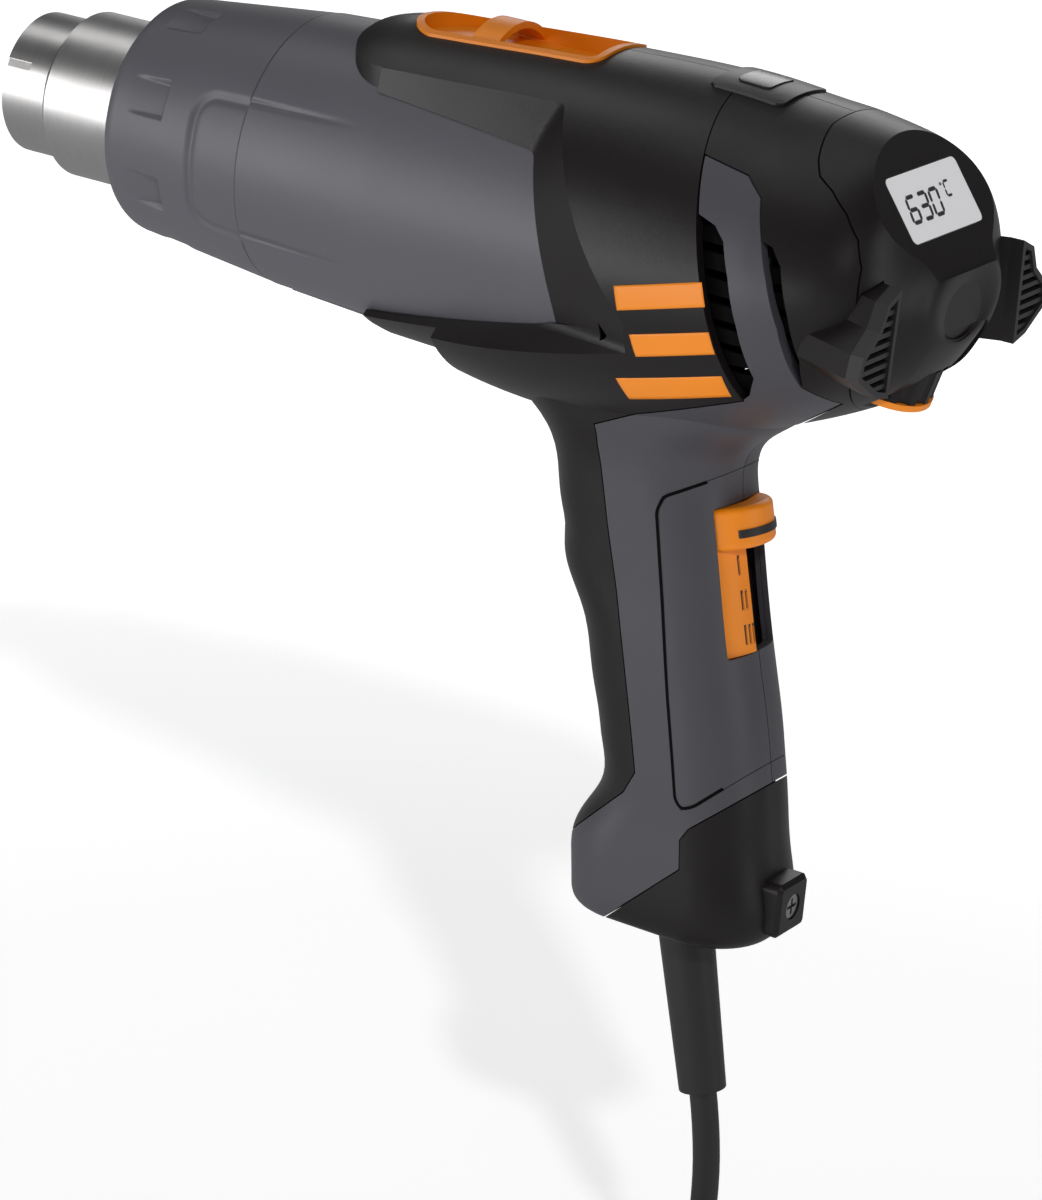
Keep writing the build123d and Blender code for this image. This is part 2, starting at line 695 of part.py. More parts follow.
def foot_outline(x, inboard=0.0, grow=0.0):
    """Left foot's outline at x: narrow above, flared outwards below."""
    inner = inboard - FOOT_INNER
    top = inboard - FOOT_TOP_HALF
    low = inboard - FOOT_BOTTOM_HALF
    points = [(inner, FOOT_TOP), (top, FOOT_TOP - 2.4), (top - 2.7, 3.2), (low + 1.4, -1.2),
              (low, -6.2), (top - 1.0, -11.6), (inner - 1.0, FOOT_BOTTOM)]
    face = make_face(Polyline(*[(x, y, z) for y, z in points], close=True))
    return offset(face, grow, kind=Kind.INTERSECTION) if grow else face


def foot_block(grow=0.0):
    """Left rear foot, which flares back from the flank of the rear shell."""
    back = FOOT_FACE - FOOT_PAD_T
    form = loft([foot_outline(231.0, 7.0, grow), foot_outline(back, 0.0, grow)], ruled=True)
    if grow:
        form = form + extrude(foot_outline(back, 0.0, grow), 20, dir=(1, 0, 0))
    return form


def rear_housing_left():
    """Left rear shell with its foot."""
    half = shell & left_prism(rear_region())
    foot = foot_block() - body_form(WALL)
    half = half + foot
    half = half - light_block(FIT) - dial_room()
    return largest_solid(half)


display_plane = Plane(origin=(DISPLAY_CENTRE[0], 0, DISPLAY_CENTRE[1]), x_dir=(0, 1, 0),
                      z_dir=(cos(radians(DISPLAY_TILT)), 0, sin(radians(DISPLAY_TILT))))


def display_slab(depth, height, shrink=0.0):
    """Rounded slab in the display's plane, from -depth to +height."""
    outline = RectangleRounded(DISPLAY_WIDTH - 2 * shrink, DISPLAY_HEIGHT - 2 * shrink, 1.6)
    return display_plane * extrude(Pos(0, 0, -depth) * outline, depth + height)


dial_frame = Plane(origin=(DIAL_CENTRE[0], 0, DIAL_CENTRE[1]), x_dir=(0, 1, 0),
                   z_dir=(sin(radians(DIAL_TILT)), 0, cos(radians(DIAL_TILT))))


def dial_disc(z0, z1, radius):
    """Disc about the dial's axis, between two heights in its frame."""
    disc = Cylinder(radius, z1 - z0, align=(Align.CENTER, Align.CENTER, Align.MIN))
    return dial_frame * Pos(0, 0, z0) * disc


def dial_room():
    """Free space round the thumb wheel and its ring."""
    return dial_disc(-DIAL_T / 2 - DIAL_RING_T - DIAL_GAP, DIAL_T / 2 + DIAL_GAP, DIAL_R + DIAL_GAP + 0.3)


def end_cap():
    """Domed rear cap with the display facet, the dial's slot and a hollow for the thumb."""
    area = extrude(cap_region(), 70, both=True)
    cap = (body_skin - body_form(CAP_WALL)) & area
    facet = display_plane * Pos(0, 0, 10) * Box(80, 34, 20)
    cap = cap - facet
    hollow = block((236, 262), (-HOLLOW_HALF_WIDTH, HOLLOW_HALF_WIDTH), (HOLLOW_TOP - 30, HOLLOW_TOP))
    hollow = fillet(hollow.edges().filter_by(Axis.X), 4.0)
    cap = cap - ((body_skin - body_form(HOLLOW_DEPTH)) & hollow)
    cap = cap - display_slab(DISPLAY_T, 4) - display_slab(12, 1, 1.6)
    cap = cap - dial_room()
    for foot in both_sides(foot_block(SEAM)):
        cap = cap - foot
    return largest_solid(cap)


def foot_pad_left():
    """Rubber sole of the foot: a raised frame round level ribs."""
    front = FOOT_FACE - FOOT_PAD_T
    sole = extrude(foot_outline(front), FOOT_PAD_T, dir=(1, 0, 0))
    inner = foot_outline(front + 1.0, 0.0, -1.3)
    well = extrude(inner, FOOT_PAD_T, dir=(1, 0, 0))
    ribs = Compound(children=[block((front, FOOT_FACE - 0.5), (-50, -20), (z, z + 1.1))
                              for z in [FOOT_BOTTOM + 2.6 + 2.3 * k for k in range(10)]])
    return largest_solid((sole - well) + (ribs & sole))


def base_cap():
    """Black cap that closes the grip, with a screw boss behind and the lead's outlet below."""
    area = extrude(base_region(), 60, both=True)
    cap = shell & area
    boss = block((214, BOSS_FACE), (-6.5, 6.5), (-153.6, -140.4))
    boss = fillet(boss.edges().filter_by(Axis.X), 2.0)
    boss = chamfer(boss.faces().sort_by(Axis.X)[-1].edges(), 1.0)
    cap = cap + (boss - grip_form(WALL))
    cap = cap - rod_x(BOSS_FACE - 17, BOSS_FACE + 2, 1.7, z=-147)
    cap = cap - rod_x(BOSS_FACE - 2.2, BOSS_FACE + 2, 3.1, z=-147)
    return largest_solid(cap - relief_rod(-12, 14, RELIEF_TOP_R + FIT))


# ---------------------------------------------------------------- mains inlet
relief_length = hypot(RELIEF_END[0] - RELIEF_START[0], RELIEF_END[1] - RELIEF_START[1])
relief_down = ((RELIEF_END[0] - RELIEF_START[0]) / relief_length, 0,
               (RELIEF_END[1] - RELIEF_START[1]) / relief_length)
relief_frame = Plane(origin=(RELIEF_START[0], 0, RELIEF_START[1]), x_dir=(0, 1, 0),
                     z_dir=relief_down)


def relief_rod(d0, d1, radius, end_radius=None):
    """Round bar or cone on the lead's outlet axis, from depth d0 to d1 below the grip."""
    end = radius if end_radius is None else end_radius
    if end == radius:
        bar = Cylinder(radius, d1 - d0, align=(Align.CENTER, Align.CENTER, Align.MIN))
    else:
        bar = Cone(radius, end, d1 - d0, align=(Align.CENTER, Align.CENTER, Align.MIN))
    return relief_frame * Pos(0, 0, d0) * bar


def strain_relief():
    """Tapered bend protector with the collar that holds it inside the cap."""
    body = relief_rod(0, relief_length, RELIEF_TOP_R, RELIEF_END_R)
    body = body + relief_rod(-6, 0, RELIEF_TOP_R)
    collar = relief_rod(-9.5, -5.5, RELIEF_TOP_R + 2.4)
    return body + collar


# ---------------------------------------------------------------- slide switch
def scale_plate():
    """Bright strip beside the switch slot, with the marks of its steps cut in."""
    plate = back_bar(0.8, SWITCH_LENGTH - FIT, GRIP_BACK_R, -GRIP_BACK_R)
    plate = plate - back_bar(-1, SWITCH_LENGTH + 1, GRIP_BACK_R - SCALE_T, -GRIP_BACK_R)
    plate = plate & on_back((0, SWITCH_LENGTH), (FIT - SWITCH_HALF_WIDTH, -1.0), (-9, 1))
    plate = plate & switch_pocket(-FIT)
    for step in range(3):
        for stroke in range(step + 1):
            v = -4.2 + 1.3 * stroke
            u = INDEX_U + SWITCH_PITCH * (step + 1)
            plate = plate - on_back((u - 2.0, u + 2.0), (v, v + 0.5), (-1.1, 1))
    return plate


def switch_cradle():
    """Moulded tray behind the slot, which carries the scale and the contacts."""
    deep = SWITCH_DEPTH
    half = SWITCH_HALF_WIDTH - FIT
    cradle = on_back((FIT, SWITCH_LENGTH - FIT), (-half, half), (-deep - 4.0, -deep + 2.0))
    shelf = on_back((FIT, SWITCH_LENGTH - FIT), (-half, -1.0), (-deep, -SCALE_T - 0.3))
    shelf = shelf - (back_bar(-1, SWITCH_LENGTH + 1, 40, -GRIP_BACK_R)
                     - back_bar(-2, SWITCH_LENGTH + 2, GRIP_BACK_R - SCALE_T, -GRIP_BACK_R))
    return cradle + (shelf & switch_pocket(-FIT))


knob_r = SWITCH_HALF_WIDTH - KNOB_GAP


def index_band(proud):
    """Band round the knob's crown where its index strip lies."""
    u0, u1 = INDEX_U - INDEX_WIDTH / 2, INDEX_U + INDEX_WIDTH / 2
    ring = back_bar(u0, u1, knob_r + proud, KNOB_RISE - knob_r)
    ring = ring - back_bar(u0 - 1, u1 + 1, knob_r - 0.9, KNOB_RISE - knob_r)
    return ring & on_back((u0 - 1, u1 + 1), (-7.6, 20), (-1.0, 20))


def switch_knob():
    """Bright sliding knob, a round bar's crown over the back of the grip, with its stem."""
    cap = back_bar(0.3, KNOB_LENGTH, knob_r, KNOB_RISE - knob_r)
    cap = cap & on_back((0, KNOB_LENGTH), (-20, 20), (-4.4, 20))
    cap = fillet(cap.edges().filter_by(GeomType.CIRCLE), 1.4)
    cap = cap - back_bar(-1, KNOB_LENGTH + 1, GRIP_BACK_R + 0.4, -GRIP_BACK_R)
    stem = on_back((1.0, KNOB_LENGTH - 1.0), (0.2, 8.0), (-SWITCH_DEPTH + 2.3, 1.6))
    return largest_solid(cap + stem) - index_band(1.0)


def switch_index():
    """Dark rubber index strip in the knob's groove."""
    return index_band(0.35)


# ---------------------------------------------------------------- display and dial
def display_window():
    """Clear cover of the display, flush in its facet."""
    outline = RectangleRounded(DISPLAY_WIDTH - 2 * FIT, DISPLAY_HEIGHT - 2 * FIT, 1.5)
    return display_plane * extrude(Pos(0, 0, -DISPLAY_T) * outline, DISPLAY_T)


def display_module():
    """Liquid-crystal panel with its frame, behind the window."""
    outline = Rectangle(DISPLAY_WIDTH - 5.0, DISPLAY_HEIGHT - 5.0)
    return display_plane * extrude(Pos(0, 0, -DISPLAY_T - 4.0) * outline, 4.0)


def dial_wheel():
    """Fluted thumb wheel for the temperature."""
    wheel = dial_disc(-DIAL_T / 2, DIAL_T / 2, DIAL_R)
    for k in range(DIAL_FLUTES):
        angle = 360 / DIAL_FLUTES * k
        flute = Location((DIAL_R + 1.9, 0, 0)) * Cylinder(2.6, DIAL_T + 2)
        wheel = wheel - dial_frame * flute.rotate(Axis.Z, angle)
    return wheel - dial_disc(-DIAL_T, DIAL_T, DIAL_SHAFT_R + 0.02)


def dial_ring():
    """Bright ring under the thumb wheel."""
    low = -DIAL_T / 2 - DIAL_RING_T
    ring = dial_disc(low, -DIAL_T / 2, DIAL_R + 0.3)
    return ring - dial_disc(low - 1, 0, DIAL_SHAFT_R + 0.02)


def dial_shaft():
    """Shaft of the thumb wheel, which turns the encoder."""
    low = -DIAL_T / 2 - DIAL_RING_T
    return dial_disc(low, DIAL_T / 2 + 6, DIAL_SHAFT_R)


def dial_encoder():
    """Encoder body over the wheel, on the control board."""
    z0 = DIAL_T / 2 + 0.3
    body = dial_frame * block((-6, 6), (-5, 17), (z0, z0 + 7))
    body = body - dial_disc(z0 - 1, DIAL_T / 2 + 6.3, DIAL_SHAFT_R + 0.05)
    body = body - block((200, BOARD_X + BOARD_T), (-40, 40), (-60, 60))
    return largest_solid(body & body_form(CAP_WALL + 2 * FIT))


def control_board():
    """Board across the rear shell, which carries the encoder and the display lead."""
    board = block((BOARD_X, BOARD_X + BOARD_T), (-60, 60), (-27, 24))
    return board & body_form(WALL + SCREEN_GAP + SCREEN_T + 0.3)


def air_screen_left():
    """Slotted guard just inside the left air vents."""
    screen = body_form(WALL + SCREEN_GAP) - body_form(WALL + SCREEN_GAP + SCREEN_T)
    area = side_outline([(FAN_FRONT + FAN_T + 1, 26), (232.0, 26), (236.0, 20), (236.0, -21),
                         (208.0, -25), (FAN_FRONT + FAN_T + 1, 0)])
    area = largest(area - grown(cap_region()))
    screen = screen & left_prism(area, 20)
    for k in range(7):
        z = -14 + 5.2 * k
        screen = screen - block((205.0 - 0.3 * z, 229.6 - 0.2 * z), (-60, 0), (z - 0.9, z + 0.9))
    return largest_solid(screen)


# ---------------------------------------------------------------- motor and fan
def motor_body():
    """Can of the fan motor."""
    can = rod_x(MOTOR_FRONT, MOTOR_REAR, MOTOR_R)
    can = can + rod_x(MOTOR_REAR, MOTOR_REAR + 3, 6)
    can = can + rod_x(MOTOR_FRONT - 3, MOTOR_FRONT, 6)
    return can - rod_x(MOTOR_REAR - 10, MOTOR_REAR + 4, SHAFT_R + 0.05)


def motor_mount():
    """Spoked ring that holds the motor in the barrel housing."""
    x0, x1 = motor_mid - 5, motor_mid + 5
    ring = ring_x(x0, x1, bore_rear - FIT, bore_rear - 2.6)
    hub = ring_x(x0, x1, MOTOR_R + 2.2, MOTOR_R + FIT)
    spoke = block((x0, x1), (-1.4, 1.4), (MOTOR_R + 1, bore_rear - 1))
    mount = ring + hub
    for k in range(5):
        mount = mount + spoke.rotate(Axis.X, 36 + 72 * k)
    return mount


def motor_shaft():
    """Steel shaft from the motor to the fan."""
    return rod_x(MOTOR_REAR - 9, FAN_FRONT + FAN_T + 2, SHAFT_R)


def fan_wheel():
    """Fan with pitched blades round a hub."""
    x1 = FAN_FRONT + FAN_T
    hub = rod_x(FAN_FRONT, x1, 9)
    blade = Pos(FAN_FRONT + FAN_T / 2, 0, (FAN_R + 8) / 2) * Box(FAN_T - 1, 1.5, FAN_R - 8)
    axis = Axis((FAN_FRONT + FAN_T / 2, 0, 0), (0, 0, 1))
    blade = blade.rotate(axis, 35) & rod_x(FAN_FRONT, x1, FAN_R)
    wheel = hub
    for k in range(FAN_BLADES):
        wheel = wheel + blade.rotate(Axis.X, 360 / FAN_BLADES * k)
    return wheel - rod_x(FAN_FRONT - 1, x1 + 4, SHAFT_R + 0.02)


# ---------------------------------------------------------------- power electronics and inlet
def power_board():
    """Power board across the grip, held by its edges in the flanks."""
    board = on_back((2, 62), (-40, 40), (-25.6, -24.0)) & grip_form(WALL + 0.2)
    for u, v, size, high in [(10, -8, 9, 6), (10, 7, 10, 5), (28, 0, 14, 7), (46, -7, 8, 5),
                             (48, 7, 7, 6)]:
        board = board + on_back((u - size / 2, u + size / 2), (v - size / 2, v + size / 2),
                                (-24.0, -24.0 + high))
    return board


def terminal_block():
    """Terminals where the mains lead ends, over the cord clamp."""
    return relief_rod(-32, -24, 9.0) & relief_frame * block((-9, 9), (-6, 6), (-33, -23))


def inner_lead():
    """Short stretch of the lead between its bend protector and the terminals."""
    return relief_rod(-24, -9.5, CORD_R)


def cord_clamp():
    """Saddle that grips the lead inside the bottom cap."""
    bar = relief_frame * block((-40, 40), (-4.0, 8.0), (-18, -12)) & grip_form(WALL + 0.2)
    return bar - relief_rod(-19, -11, CORD_R + FIT)


def screw_post(x, z, left):
    """Screw post from a shell's flank to the parting plane, with its bore."""
    side = -1 if left else 1
    post = Location((x, 0, z), (90, 0, 0)) * Cylinder(SCREW_POST_R, 120)
    low, high = (-60, -SEAM / 2) if left else (SEAM / 2, 60)
    return post & block((100, 260), (low, high), (-170, 60)) & skin


def screw_hole(x, z):
    """Through bore, pilot bore and head recess of one housing screw."""
    turn = Location((x, 0, z), (-90, 0, 0))
    bore = turn * Pos(0, 0, -SCREW_BITE) * Cylinder(SCREW_R + 0.05, 80,
                                                    align=(Align.CENTER, Align.CENTER, Align.MIN))
    head = turn * Pos(0, 0, SCREW_HEAD_Y - 1.8) * Cylinder(
        SCREW_HEAD_R + 0.2, 40, align=(Align.CENTER, Align.CENTER, Align.MIN))
    return bore + head


def housing_screw(x, z):
    """One housing screw with its slotted head on the right-hand side."""
    turn = Location((x, 0, z), (-90, 0, 0))
    low = (Align.CENTER, Align.CENTER, Align.MIN)
    shank = turn * Pos(0, 0, 0.5 - SCREW_BITE) * Cylinder(
        SCREW_R, SCREW_BITE + SCREW_HEAD_Y - 2.3, align=low)
    head = turn * Pos(0, 0, SCREW_HEAD_Y - 1.8) * Cylinder(SCREW_HEAD_R, 1.8, align=low)
    slot = turn * Pos(0, 0, SCREW_HEAD_Y) * Box(SCREW_HEAD_R * 1.4, 0.8, 1.4)
    cross = turn * Pos(0, 0, SCREW_HEAD_Y) * Box(0.8, SCREW_HEAD_R * 1.4, 1.4)
    return shank + head - slot - cross


def base_screw():
    """Screw in the boss behind the bottom cap."""
    head = BOSS_FACE - 2.2
    screw = rod_x(head - 14.4, head, 1.6, z=-147) + rod_x(head, head + 1.8, 2.9, z=-147)
    return screw - block((head + 1, head + 3), (-2, 2), (-147.4, -146.6)) - block(
        (head + 1, head + 3), (-0.4, 0.4), (-149, -145))


def mica_tube():
    """Insulating sleeve between the heating wire and the pipe."""
    outer = PIPE_R - PIPE_WALL - MICA_GAP
    return ring_x(TIP_LENGTH + 4.0, heater_face, outer, outer - MICA_WALL)


# ---------------------------------------------------------------- mains lead, in its final place
def lead_path(points):
    """Straight runs joined by tangent arcs, each as large as its two runs allow."""
    corners = [Vector(*p) for p in points]
    radii = []
    for a, b, c in zip(corners, corners[1:], corners[2:]):
        turn = (b - a).get_angle(c - b)
        run = min((b - a).length, (c - b).length)
        radii.append(0.45 * run / tan(radians(turn / 2)))
    return FilletPolyline(*corners, radius=radii), radii


def lead_tube(points):
    """Round lead along a path."""
    path, radii = lead_path(points)
    tube = sweep(Plane(origin=path @ 0, z_dir=path % 0) * Circle(CORD_R), path)
    section = pi * CORD_R ** 2 * path.length
    print("lead", round(path.length, 1), "mm, radii", [round(r, 1) for r in radii],
          "volume", round(tube.volume, 1), "of", round(section, 1))
    return tube


lead_exit = Vector(RELIEF_END[0] - NOZZLE_REACH, 0, RELIEF_END[1] + BARREL_HEIGHT)
coil_width = 2 * COIL_STACK * CORD_R
coil_bottom = FLOOR_Z + TIE_T
coil_top = coil_bottom + coil_width
outer_turn = COIL_TURN_R + coil_width / 2 - CORD_R
join = radians(44.6)
coil_join = (COIL_CENTRE[0] + outer_turn * cos(join), COIL_CENTRE[1] + outer_turn * sin(join),
             coil_bottom + CORD_R)
coil_leave = (COIL_CENTRE[0] - outer_turn, COIL_CENTRE[1], coil_top - CORD_R)
plug_entry = (PLUG_X, PLUG_BACK, FLOOR_Z + PLUG_R)

# the lead hangs from the grip and bends onto the surface below
hanging_points = [
    (lead_exit.X, 0.0, lead_exit.Z),
    (27.6, 0.0, -123.0),
    (28.0, 0.4, -146.0),
    (27.6, -0.4, -168.6),
    (34.3, -7.9, -185.9),
    (45.9, -20.7, coil_join[2]),
    coil_join,
]
# its free end leaves the stored turns for the plug
tail_points = [
    coil_leave,
    (-16.6, -58.0, -182.7),
    (-17.6, -49.0, -181.9),
    plug_entry,
]


def lead_coil():
    """Stored turns of the lead as one bundle."""
    inner = COIL_TURN_R - coil_width / 2
    ring = Cylinder(inner + coil_width, coil_width) - Cylinder(inner, coil_width + 2)
    ring = fillet(ring.edges().filter_by(GeomType.CIRCLE), CORD_R * 0.8)
    return Pos(*COIL_CENTRE, (coil_bottom + coil_top) / 2) * ring


def lead_tie():
    """Band that holds the stored turns together."""
    middle = COIL_CENTRE[1] - COIL_TURN_R
    half = coil_width / 2
    x = (COIL_CENTRE[0] - TIE_WIDTH / 2, COIL_CENTRE[0] + TIE_WIDTH / 2)
    band = block(x, (middle - half - TIE_T, middle + half + TIE_T), (FLOOR_Z, coil_top + TIE_T))
    return band - block((x[0] - 1, x[1] + 1), (middle - half, middle + half),
                        (coil_bottom, coil_top))


plug_face = PLUG_BACK + PLUG_LENGTH
pin_seat = plug_face - 8


def plug_pin(x, radius, y0, y1):
    """Round bar along the plug's axis, at x from its middle."""
    bar = Cylinder(radius, y1 - y0, align=(Align.CENTER, Align.CENTER, Align.MIN))
    return Location((PLUG_X + x, y0, FLOOR_Z + PLUG_R), (-90, 0, 0)) * bar


def plug_body():
    """Moulded two-pin plug with its bend protector."""
    outline = [(0, 0), (PLUG_NECK_R, 0), (PLUG_NECK_R + 2.2, 21), (10.5, 23), (12.5, 34),
               (PLUG_R - 1, 39.5), (PLUG_R, 41), (PLUG_R, PLUG_LENGTH - 1),
               (PLUG_R - 1, PLUG_LENGTH), (0, PLUG_LENGTH)]
    outline = [(r, PLUG_BACK + y) for r, y in outline]
    body = revolve(make_face(Polyline(*outline, close=True)), Axis.Y)
    body = Pos(PLUG_X, 0, FLOOR_Z + PLUG_R) * body
    for side in (-1, 1):
        notch = Box(4, 20, 5.4)
        body = body - Pos(PLUG_X + side * PLUG_R, plug_face, FLOOR_Z + PLUG_R) * notch
        body = body - plug_pin(side * PIN_SPACING / 2, PIN_ROOT_R + 0.05, pin_seat, plug_face + 1)
    return body


def plug_pins():
    """The plug's two round pins, each with a narrower root moulded into the plug."""
    pins = []
    for side in (-1, 1):
        pin = plug_pin(side * PIN_SPACING / 2, PIN_R, plug_face + PIN_ROOT_GAP, plug_face + PIN_LENGTH)
        pin = fillet(pin.edges().sort_by(Axis.Y)[-1], 1.2)
        pins.append(pin + plug_pin(side * PIN_SPACING / 2, PIN_ROOT_R, pin_seat, plug_face + 3))
    return Compound(children=pins)


# ---------------------------------------------------------------- assembly
def screwed(shape, screws, left):
    """A shell with the posts and bores of its screws."""
    for x, z in screws:
        shape = shape + screw_post(x, z, left)
    for x, z in screws:
        shape = shape - screw_hole(x, z)
    return shape


pad_layer = skin - grip_form(1.3)
pad_room = (skin - grip_form(1.4)) & left_prism(grown(pad_region(), FIT), 0, 70)
main_left = main_housing_left(window_cutter())
main_left, main_right = both_sides(main_left)
rear_left, rear_right = both_sides(rear_housing_left())
grip_left_shell, grip_right_shell = both_sides(grip_left(pad_room))
pad_left, pad_right = both_sides(grip_pad_left(pad_layer))
sole_left, sole_right = both_sides(foot_pad_left())
screen_left, screen_right = both_sides(air_screen_left())

gun = {
    "nozzle_pipe": nozzle_pipe(),
    "heater_core": heater_core(),
    "heater_coil": heater_coil(),
    "mica_tube": mica_tube(),
    "heater_flange": heater_flange(),
    "protective_sleeve": protective_sleeve(),
    "barrel_housing": barrel_housing(),
    "main_housing_left": screwed(main_left, MAIN_SCREWS, True),
    "main_housing_right": screwed(main_right, MAIN_SCREWS, False),
    "rear_housing_left": rear_left,
    "rear_housing_right": rear_right,
    "grip_left": screwed(grip_left_shell, GRIP_SCREWS, True),
    "grip_right": screwed(grip_right_shell, GRIP_SCREWS, False),
    "grip_pad_left": pad_left,
    "grip_pad_right": pad_right,
    "end_cap": end_cap(),
    "base_cap": base_cap(),
    "foot_pad_left": sole_left,
    "foot_pad_right": sole_right,
    "top_tray": top_tray(),
    "light_bezel": light_bezel(),
    "light_lens": light_lens(),
    "housing_screws": Compound(children=[housing_screw(x, z) for x, z in MAIN_SCREWS + GRIP_SCREWS]),
    "base_screw": base_screw(),
    "switch_cradle": switch_cradle(),
    "switch_scale": scale_plate(),
    "switch_knob": switch_knob(),
    "switch_index": switch_index(),
    "display_window": display_window(),
    "display_module": display_module(),
    "dial_wheel": dial_wheel(),
    "dial_ring": dial_ring(),
    "dial_shaft": dial_shaft(),
    "dial_encoder": dial_encoder(),
    "control_board": control_board(),
    "air_screen_left": screen_left,
    "air_screen_right": screen_right,
    "motor_body": motor_body(),
    "motor_mount": motor_mount(),
    "motor_shaft": motor_shaft(),
    "fan_wheel": fan_wheel(),
    "power_board": power_board(),
    "terminal_block": terminal_block(),
    "inner_lead": inner_lead(),
    "cord_clamp": cord_clamp(),
    "strain_relief": strain_relief(),
}
lead = {
    "mains_lead": lead_tube(hanging_points),
    "lead_coil": lead_coil(),
    "lead_tie": lead_tie(),
    "plug_lead": lead_tube(tail_points),
    "plug_body": plug_body(),
    "plug_pins": plug_pins(),
}

for name, shape in gun.items():
    export_step(shape.moved(to_row), f"parts/{name}.step", precision_mode=PrecisionMode.LEAST)
for name, shape in lead.items():
    export_step(shape, f"parts/{name}.step", precision_mode=PrecisionMode.LEAST)
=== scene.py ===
# %% [markdown]
# # A hot-air gun, finished in Blender
# The shells, the nozzle and the moving parts arrive as a ready model whose places are fixed. This
# lesson adds what a factory adds after moulding: finishes, printed marks, fine relief and light.
# It starts by loading that model. Everything is in metres: +X runs back along the barrel, +Z is up,
# and the origin lies in the middle of the grip.

# %% Load the model
import json
import math

import bmesh
import bpy
import numpy as np
from mathutils import Matrix


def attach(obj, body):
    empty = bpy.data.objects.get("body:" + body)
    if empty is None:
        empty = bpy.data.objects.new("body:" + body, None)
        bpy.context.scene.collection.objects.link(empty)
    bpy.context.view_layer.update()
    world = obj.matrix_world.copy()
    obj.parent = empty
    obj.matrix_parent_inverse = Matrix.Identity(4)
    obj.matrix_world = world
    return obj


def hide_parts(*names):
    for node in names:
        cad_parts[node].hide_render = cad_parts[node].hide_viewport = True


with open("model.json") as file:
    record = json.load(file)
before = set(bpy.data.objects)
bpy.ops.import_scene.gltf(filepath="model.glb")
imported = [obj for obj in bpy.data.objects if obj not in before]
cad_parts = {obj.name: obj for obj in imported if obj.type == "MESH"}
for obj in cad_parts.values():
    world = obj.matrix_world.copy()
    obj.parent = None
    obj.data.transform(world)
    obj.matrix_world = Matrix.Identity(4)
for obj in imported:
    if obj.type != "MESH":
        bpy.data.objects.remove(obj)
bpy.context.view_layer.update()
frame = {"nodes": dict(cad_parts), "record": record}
NODES = frame["nodes"]
MM = 0.001
AXIS_HEIGHT = 0.090        # the barrel's axis above the origin
MOUTH_X = -0.184           # the nozzle's mouth
FLOOR_Z = -0.200           # the surface under the hanging lead
print("pieces in the model:", len(NODES))


# %% [markdown]
# ## The camera
# A tool is usually shown a little from above and behind, with a long lens, so that its lines stay
# nearly parallel. The camera's own axes are given as three unit vectors: right, up and back. As the
# columns of a matrix they are its rotation, which is surer than three angles.

# %% Camera
CAMERA_AT = (0.4763, -0.8491, 0.3589)
CAMERA_RIGHT = (0.83594, 0.54215, 0.08545)
CAMERA_UP = (-0.25481, 0.24547, 0.93535)
CAMERA_BACK = (0.48611, -0.80365, 0.34333)
LENS_MM = 136.14


def pose_matrix(right, up, back, place):
    """Three unit axes as the columns of a rotation, and a place, as one 4 x 4 matrix."""
    pose = np.eye(4)
    pose[:3, 0], pose[:3, 1], pose[:3, 2], pose[:3, 3] = right, up, back, place
    return Matrix(pose)


camera_data = bpy.data.cameras.new("studio_camera")
camera_data.lens = LENS_MM
camera_data.sensor_width = 36.0
camera_data.clip_end = 20.0
camera = bpy.data.objects.new("studio_camera", camera_data)
bpy.context.scene.collection.objects.link(camera)
camera.matrix_world = pose_matrix(CAMERA_RIGHT, CAMERA_UP, CAMERA_BACK, CAMERA_AT)
bpy.context.scene.camera = camera
print("camera lens, mm:", LENS_MM)


# %% [markdown]
# ## The mains lead
# A rubber lead is stiff enough to bend in long smooth curves. A NURBS curve is the natural tool: a
# few control points are given and the curve flows past them. The lead leaves the bend
# protector, sags to the surface and runs into nine stored turns, whose control points come from a
# loop, and its free end goes to the plug. One turn after the other moves to the next place in the
# bundle, and the places where they change over are staggered so that no two turns meet.

# %% Lead route
LEAD_D = 0.0065
LEAD_EXIT = (0.0243, 0.0, -0.1090)
HANGING = [LEAD_EXIT, (0.0276, 0.0, -0.1230), (0.0280, 0.0004, -0.1460), (0.0276, -0.0004, -0.1686),
           (0.0343, -0.0079, -0.1859), (0.0459, -0.0207, -0.19595)]
TO_PLUG = [(-0.0165, -0.0600, -0.18290), (-0.0170, -0.0535, -0.18250), (-0.0177, -0.0470, -0.18180),
           (-0.0180, -0.0400, -0.18150)]
COIL_XY = (0.028, -0.067)
COIL_BOTTOM = FLOOR_Z + 0.0008
TURN_R = 0.038
JOIN_ANGLE = 44.6
LEAVE_ANGLE = 180.0
print("points of the lead by hand:", len(HANGING) + len(TO_PLUG))

# %% Turns of the coil
STEPS_PER_TURN = 24
# places in the bundle, as (column, layer), in the order in which the turns fill them
PLACES = [(1, -1), (0, -1), (-1, -1), (-1, 0), (-1, 1), (0, 1), (0, 0), (1, 0), (1, 1)]
# how many degrees before the end of its turn each change of place is complete
CHANGE_ENDS = [0, 0, 35, 35, 70, 105, 140, 175]
CHANGE_SPAN = 35.0


def place_at(travel):
    """Column and layer after so many degrees of winding: a smooth step between places."""
    column, layer = PLACES[0]
    for k, ends in enumerate(CHANGE_ENDS):
        start = 360.0 * (k + 1) - ends - CHANGE_SPAN
        t = min(max((travel - start) / CHANGE_SPAN, 0.0), 1.0)
        t = t * t * (3 - 2 * t)
        column += t * (PLACES[k + 1][0] - PLACES[k][0])
        layer += t * (PLACES[k + 1][1] - PLACES[k][1])
    return column, layer


